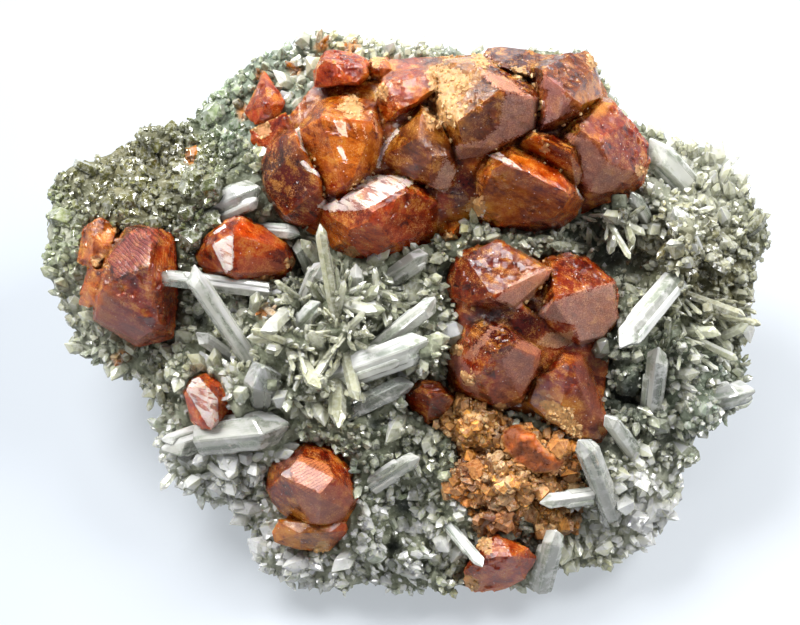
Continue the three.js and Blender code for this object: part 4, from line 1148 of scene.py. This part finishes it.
class Nodes:
    """The nodes of a material or of the world, with short ways to add to them."""

    def __init__(self, owner, main="Principled BSDF"):
        owner.use_nodes = True
        self.owner = owner
        self.tree = owner.node_tree
        self.main = self.tree.nodes[main]
        self.coordinates = self.tree.nodes.new("ShaderNodeTexCoord").outputs

    def put(self, value, socket):
        """Links a socket to another, or sets it to a number or a colour."""
        if isinstance(value, bpy.types.NodeSocket):
            self.tree.links.new(value, socket)
        else:
            socket.default_value = (*value, 1) if socket.type == "RGBA" else value

    def fill(self, made, **inputs):
        """Sets or links a node's inputs, each by its name."""
        for name, value in inputs.items():
            self.put(value, made.inputs[name.replace("_", " ")])
        return made

    def node(self, kind, **inputs):
        return self.fill(self.tree.nodes.new(kind), **inputs)

    def shade(self, **inputs):
        """Sets or links the inputs of the main shader."""
        self.fill(self.main, **inputs)
        return self.owner

    def painted(self, name="tone"):
        """The colours or places that the mesh keeps under a name."""
        made = self.tree.nodes.new("ShaderNodeAttribute")
        made.attribute_name = name
        return made.outputs

    def parts(self, value, kind="Color"):
        """The three parts of a colour, or of a place."""
        made = self.tree.nodes.new(f"ShaderNodeSeparate{kind}")
        self.put(value, made.inputs[0])
        return made.outputs[0], made.outputs[1], made.outputs[2]

    def texture(self, kind, size, place=None, **inputs):
        """A texture about size millimetres across. Painted places are in millimetres already."""
        scale = 1 / size if place else 1 / (size * MM)
        place = place or self.coordinates["Object"]
        return self.node(f"ShaderNodeTex{kind}", Vector=place, Scale=scale, **inputs).outputs

    def noise(self, size, place=None, detail=4.0, roughness=0.55):
        return self.texture("Noise", size, place, Detail=detail, Roughness=roughness)["Fac"]

    def cells(self, size, place=None):
        """A random colour in each of many angular cells."""
        return self.texture("Voronoi", size, place)["Color"]

    def ramp(self, value, low, high, start=0.35, end=0.65):
        """Goes from low to high while the value goes from start to end."""
        made = self.node(
            "ShaderNodeMapRange", Value=value, From_Min=start, From_Max=end, To_Min=low, To_Max=high,
        )
        return made.outputs["Result"]

    def mix(self, share, first, second, blend="MIX"):
        made = self.tree.nodes.new("ShaderNodeMix")
        made.data_type = "RGBA"
        made.blend_type = blend
        for index, value in ((0, share), (6, first), (7, second)):
            self.put(value, made.inputs[index])
        return made.outputs[2]

    def tinted(self, share, colour, tint):
        """The colour, multiplied by a tint as far as the share says."""
        return self.mix(share, colour, tint, "MULTIPLY")

    def math(self, operation, *values, kind="Math"):
        made = self.tree.nodes.new(f"ShaderNode{kind}")
        made.operation = operation
        for value, socket in zip(values, made.inputs):
            self.put(value, socket)
        return made.outputs[0]

    def times(self, value, factor, plus=0.0):
        """A value times a factor, plus another value."""
        return self.math("MULTIPLY_ADD", value, factor, plus)

    def plus(self, value, more):
        return self.math("ADD", value, more)

    def tilted(self, colour, strength):
        """The surface's normal, tilted a little by a random colour."""
        spread, middle = (strength,) * 3, (-strength / 2,) * 3
        lean = self.math("MULTIPLY_ADD", colour, spread, middle, kind="VectorMath")
        normal = self.node("ShaderNodeNewGeometry").outputs["Normal"]
        total = self.math("ADD", normal, lean, kind="VectorMath")
        return self.math("NORMALIZE", total, kind="VectorMath")

    def bump(self, height, strength, distance, **base):
        made = self.node(
            "ShaderNodeBump", Height=height, Strength=strength, Distance=distance * MM, **base,
        )
        self.shade(Normal=made.outputs["Normal"])

    def absorb(self, colour, density):
        """Colours the light that goes through a crystal, the more the further it goes."""
        inside = self.node("ShaderNodeVolumeAbsorption", Color=colour, Density=density)
        self.fill(self.tree.nodes["Material Output"], Volume=inside.outputs["Volume"])


def material_nodes(name):
    return Nodes(bpy.data.materials.new(name))


QUARTZ_IOR = 1.544
SCHEELITE_IOR = 1.92


def rock_material():
    look = material_nodes("rock")
    tone = look.painted()["Color"]
    patches = look.noise(2.5)
    grains = look.noise(0.5, detail=6)
    dark = look.tinted(1.0, tone, (0.5, 0.53, 0.46))
    colour = look.mix(look.ramp(patches, 0.0, 1.0), dark, tone)
    colour = look.mix(look.ramp(grains, 0.0, 0.3, 0.6, 0.7), colour, PALE)
    look.bump(grains, 0.7, 0.3, Normal=look.tilted(look.cells(1.1), 0.8))
    return look.shade(Base_Color=colour, Roughness=look.ramp(grains, 0.75, 0.35))


def crust_material():
    look = material_nodes("crust_quartz")
    cloud = look.noise(0.7, detail=3)
    veil = look.ramp(cloud, 0.0, 0.5, 0.45, 0.65)
    colour = look.mix(veil, look.painted()["Color"], (0.95, 0.96, 0.9))
    colour = look.tinted(look.ramp(cloud, 0.6, 0.0, 0.3, 0.45), colour, (0.6, 0.64, 0.54))
    # Painted reflection: faces seen edge-on painted whiter
    facing = look.node("ShaderNodeLayerWeight", Blend=0.4).outputs["Facing"]
    colour = look.mix(look.ramp(facing, 0.0, 0.4, 0.2, 0.8), colour, (0.95, 0.96, 0.88))
    return look.shade(
        Base_Color=colour, Roughness=look.ramp(cloud, 0.02, 0.14), IOR=QUARTZ_IOR,
        Transmission_Weight=0.66, Subsurface_Weight=0.22, Subsurface_Radius=(1.0, 1.0, 0.8),
        Subsurface_Scale=0.7 * MM, Normal=look.tilted(look.cells(0.9), 0.2),
    )


def prism_material(name, clearness, smokiness):
    """Quartz with white veils, and smoky streaks along it."""
    look = material_nodes(name)
    veil = look.noise(2.0, detail=8, roughness=0.7)
    streak = look.noise(4 / 3, look.painted("grain_place")["Vector"])
    smoke = look.ramp(streak, smokiness, 0.0, 0.4, 0.53)
    colour = look.tinted(smoke, look.painted()["Color"], (0.4, 0.46, 0.37))
    colour = look.mix(look.ramp(veil, 0.0, 0.9, 0.48, 0.62), colour, (1.0, 1.0, 0.95))
    look.absorb((0.9, 0.96, 0.88), 25)
    look.bump(streak, 0.2, 0.06)
    return look.shade(
        Base_Color=colour, Roughness=look.ramp(veil, 0.01, 0.09), IOR=QUARTZ_IOR,
        Transmission_Weight=clearness,
    )


def edge_highlight_material():
    """The bright edges of the quartz, painted white as highlights."""
    return material_nodes("painted_highlight_edges").shade(
        Base_Color=(0.93, 0.93, 0.87), Roughness=0.2, IOR=QUARTZ_IOR, Transmission_Weight=0.15,
    )


def scheelite_material():
    look = material_nodes("scheelite_glass")
    tone = look.painted()["Color"]
    grain = look.painted("grain_place")["Vector"]
    polish, frost_and_sheen, striped = look.parts(look.painted("polish_sheen_and_stripes")["Color"])
    phase, opacity, painted_highlight = look.parts(look.painted("stripes_and_highlights")["Color"])
    small = look.cells(0.7, grain)
    cloud = look.noise(2.2, detail=6, roughness=0.65)
    sugar = look.noise(0.42, detail=3, roughness=0.7)
    fine = look.noise(0.22, detail=3, roughness=0.7)
    haze = look.noise(5.0, detail=2)
    # The body's colour, between deep and bright, with gold clouds and dots of painted glint
    level = look.times(look.cells(2.4, grain), 0.3, cloud)
    level = look.times(small, 0.2, level)
    level = look.times(sugar, 0.5, look.plus(level, -0.25))
    deep = look.tinted(1.0, tone, (0.25, 0.08, 0.05))
    bright = look.mix(0.6, tone, HONEY, "SCREEN")
    colour = look.mix(look.ramp(level, 0.0, 1.0, 0.5, 0.78), deep, tone)
    colour = look.mix(look.ramp(level, 0.0, 1.0, 0.8, 1.0), colour, bright)
    clouds = look.ramp(cloud, 0.0, 1.0, 0.45, 0.62)
    colour = look.mix(look.times(look.ramp(fine, 0.0, 0.8, 0.5, 0.64), clouds), colour, GOLD)
    # Painted glints: white dots in a few small cells
    glint_cells = look.texture("Voronoi", 0.7)
    chosen = look.ramp(glint_cells["Color"], 0.0, 0.7, 0.72, 0.76)
    dot = look.times(look.ramp(glint_cells["Distance"], 1.0, 0.0, 0.08, 0.2), chosen)
    colour = look.mix(dot, colour, SPARKLE)
    # Dark grooves on the striped faces
    wave = look.math("SINE", look.times(phase, 2 * math.pi))
    wave = look.times(sugar, 4.0, look.plus(wave, -2.2))
    groove = look.times(look.ramp(wave, 0.0, 0.7, 0.0, 1.0), striped)
    colour = look.mix(groove, colour, look.tinted(1.0, tone, (0.3, 0.1, 0.08)))
    # Frost and painted reflection, with ragged borders, and lines across the painted highlights
    ragged = look.times(sugar, 1.2, look.plus(frost_and_sheen, -0.6))
    ragged = look.times(cloud, 1.2, look.plus(ragged, -0.6))
    frost_and_sheen_cover = look.times(look.ramp(ragged, 0.0, 1.0, 0.5, 0.6), look.ramp(haze, 0.7, 1.0))
    frost_and_sheen_cover = look.times(frost_and_sheen_cover, opacity)
    lines = look.noise(1.0, grain, roughness=0.6)
    gap = look.plus(look.ramp(lines, 0.25, 1.0, 0.42, 0.5), -1.0)
    frost_and_sheen_cover = look.times(frost_and_sheen_cover, look.times(painted_highlight, gap, 1.0))
    frost_and_sheen_cover = look.times(frost_and_sheen_cover, look.math("SUBTRACT", 1.0, groove))
    pits = look.ramp(fine, 0.8, 1.5, 0.4, 0.6)
    smoother = look.times(look.math("SUBTRACT", 1.05, pits), 0.75)
    pits = look.times(painted_highlight, smoother, pits)
    colour = look.mix(frost_and_sheen_cover, colour, look.tinted(1.0, look.painted("frost_and_sheen_tone")["Color"], pits))
    gloss = look.times(frost_and_sheen_cover, 0.08, look.times(polish, 0.08, 0.04))
    height = look.times(groove, -1.0, look.plus(fine, sugar))
    glitter = look.mix(0.5, small, look.cells(0.45))
    look.bump(height, 0.5, 0.12, Normal=look.tilted(glitter, 0.2))
    look.absorb((0.95, 0.5, 0.15), 150)
    return look.shade(
        Base_Color=colour, Roughness=gloss, IOR=SCHEELITE_IOR, Transmission_Weight=0.36,
        Specular_IOR_Level=0.08, Subsurface_Weight=0.6, Subsurface_Radius=(1.0, 0.35, 0.12),
        Subsurface_Scale=2.5 * MM,
    )


def crusted_material():
    """The granular places on the glassy crystals."""
    look = material_nodes("scheelite_crust")
    grains = look.noise(0.6, detail=6, roughness=0.65)
    pale = look.mix(0.5, look.painted()["Color"], linear("d0a972"))
    look.bump(grains, 0.7, 0.3)
    return look.shade(
        Base_Color=look.mix(look.ramp(grains, 0.0, 1.0), TAN * 0.6, pale),
        Roughness=look.ramp(grains, 0.25, 0.55), Subsurface_Weight=0.3,
        Subsurface_Radius=(1.0, 0.5, 0.25), Subsurface_Scale=0.8 * MM,
    )


def granular_material():
    look = material_nodes("granular_scheelite")
    tone = look.painted()["Color"]
    grains = look.noise(0.7, detail=7, roughness=0.65)
    dark = look.tinted(1.0, tone, (0.45, 0.3, 0.2))
    look.bump(grains, 0.7, 0.35)
    return look.shade(
        Base_Color=look.mix(look.ramp(grains, 0.0, 1.0), dark, tone),
        Roughness=look.ramp(grains, 0.2, 0.5), Subsurface_Weight=0.3,
        Subsurface_Radius=(1.0, 0.5, 0.2), Subsurface_Scale=1.0 * MM,
    )


def set_camera():
    """A camera square to the crystal face, as in the photograph."""
    camera = bpy.data.cameras.new("camera")
    holder = add_object("camera", camera)
    wide = SPECIMEN_WIDTH * PICTURE_WIDTH / WIDTH_IN_PIXELS
    camera.sensor_width = CAMERA_SENSOR
    camera.lens = CAMERA_SENSOR * VIEW_DISTANCE / wide
    camera.clip_start = 0.01
    turned = Matrix(FACE_AXES.T.tolist()).to_4x4()
    holder.matrix_world = Matrix.Translation(FACE_MIDDLE + FACE_OUT * VIEW_DISTANCE) @ turned
    bpy.context.scene.camera = holder


def set_lights():
    """The lamps, and a sky that is brighter behind the specimen."""
    for name, way, distance, size, power in LIGHTS:
        lamp = bpy.data.lights.new(name, "AREA")
        lamp.shape = "RECTANGLE"
        lamp.size, lamp.size_y = size
        lamp.energy = power
        holder = add_object(name, lamp)
        toward = Vector(way).normalized()
        holder.location = Vector(FACE_MIDDLE) + toward * distance
        holder.rotation_euler = toward.to_track_quat("Z", "Y").to_euler()
    world = bpy.data.worlds.new("studio")
    bpy.context.scene.world = world
    sky = Nodes(world, "Background")
    depth = sky.parts(sky.coordinates["Generated"], "XYZ")[1]
    sky.shade(Color=SKY_TONE, Strength=sky.ramp(depth, 0.16, 0.8, -0.5, 0.6))
    bpy.context.scene.view_settings.view_transform = "Standard"


def set_floor():
    """A softly glowing table, with painted shade that makes it greyer at the left."""
    mesh = bpy.data.meshes.new("floor")
    half = FLOOR_SIZE / 2
    corners = [(-half, -half, 0), (half, -half, 0), (half, half, 0), (-half, half, 0)]
    mesh.from_pydata(corners, [], [(0, 1, 2, 3)])
    look = material_nodes("floor")
    across = look.parts(look.coordinates["Object"], "XYZ")[0]
    tone = look.mix(look.ramp(across, 0.0, 1.0, 0.0, -0.09), FLOOR_TONE, FLOOR_TONE_SHADED_LEFT)
    material = look.shade(
        Base_Color=tone, Roughness=0.6, Specular_IOR_Level=0.1, Emission_Color=FLOOR_GLOW,
        Emission_Strength=1.0,
    )
    material.cycles.emission_sampling = "NONE"
    mesh.materials.append(material)
    add_object("floor", mesh)


set_camera()
set_lights()
set_floor()

rock = rock_piece(rock_material())
all_scheelite = joined_tree(SCHEELITES + [GRANULAR])
edge_highlights = edge_highlight_material()
crust_pieces(rock, all_scheelite, [crust_material(), edge_highlights])

glass_materials = [scheelite_material(), crusted_material()]
for scheelite in SCHEELITES:
    scheelite_piece(scheelite, glass_materials, all_scheelite)
granular_piece(granular_material())
clear_quartz = prism_material("clear_quartz", clearness=0.68, smokiness=0.7)
milky_quartz = prism_material("milky_quartz", clearness=0.58, smokiness=0.8)
large_prisms(clear_quartz, milky_quartz, edge_highlights)
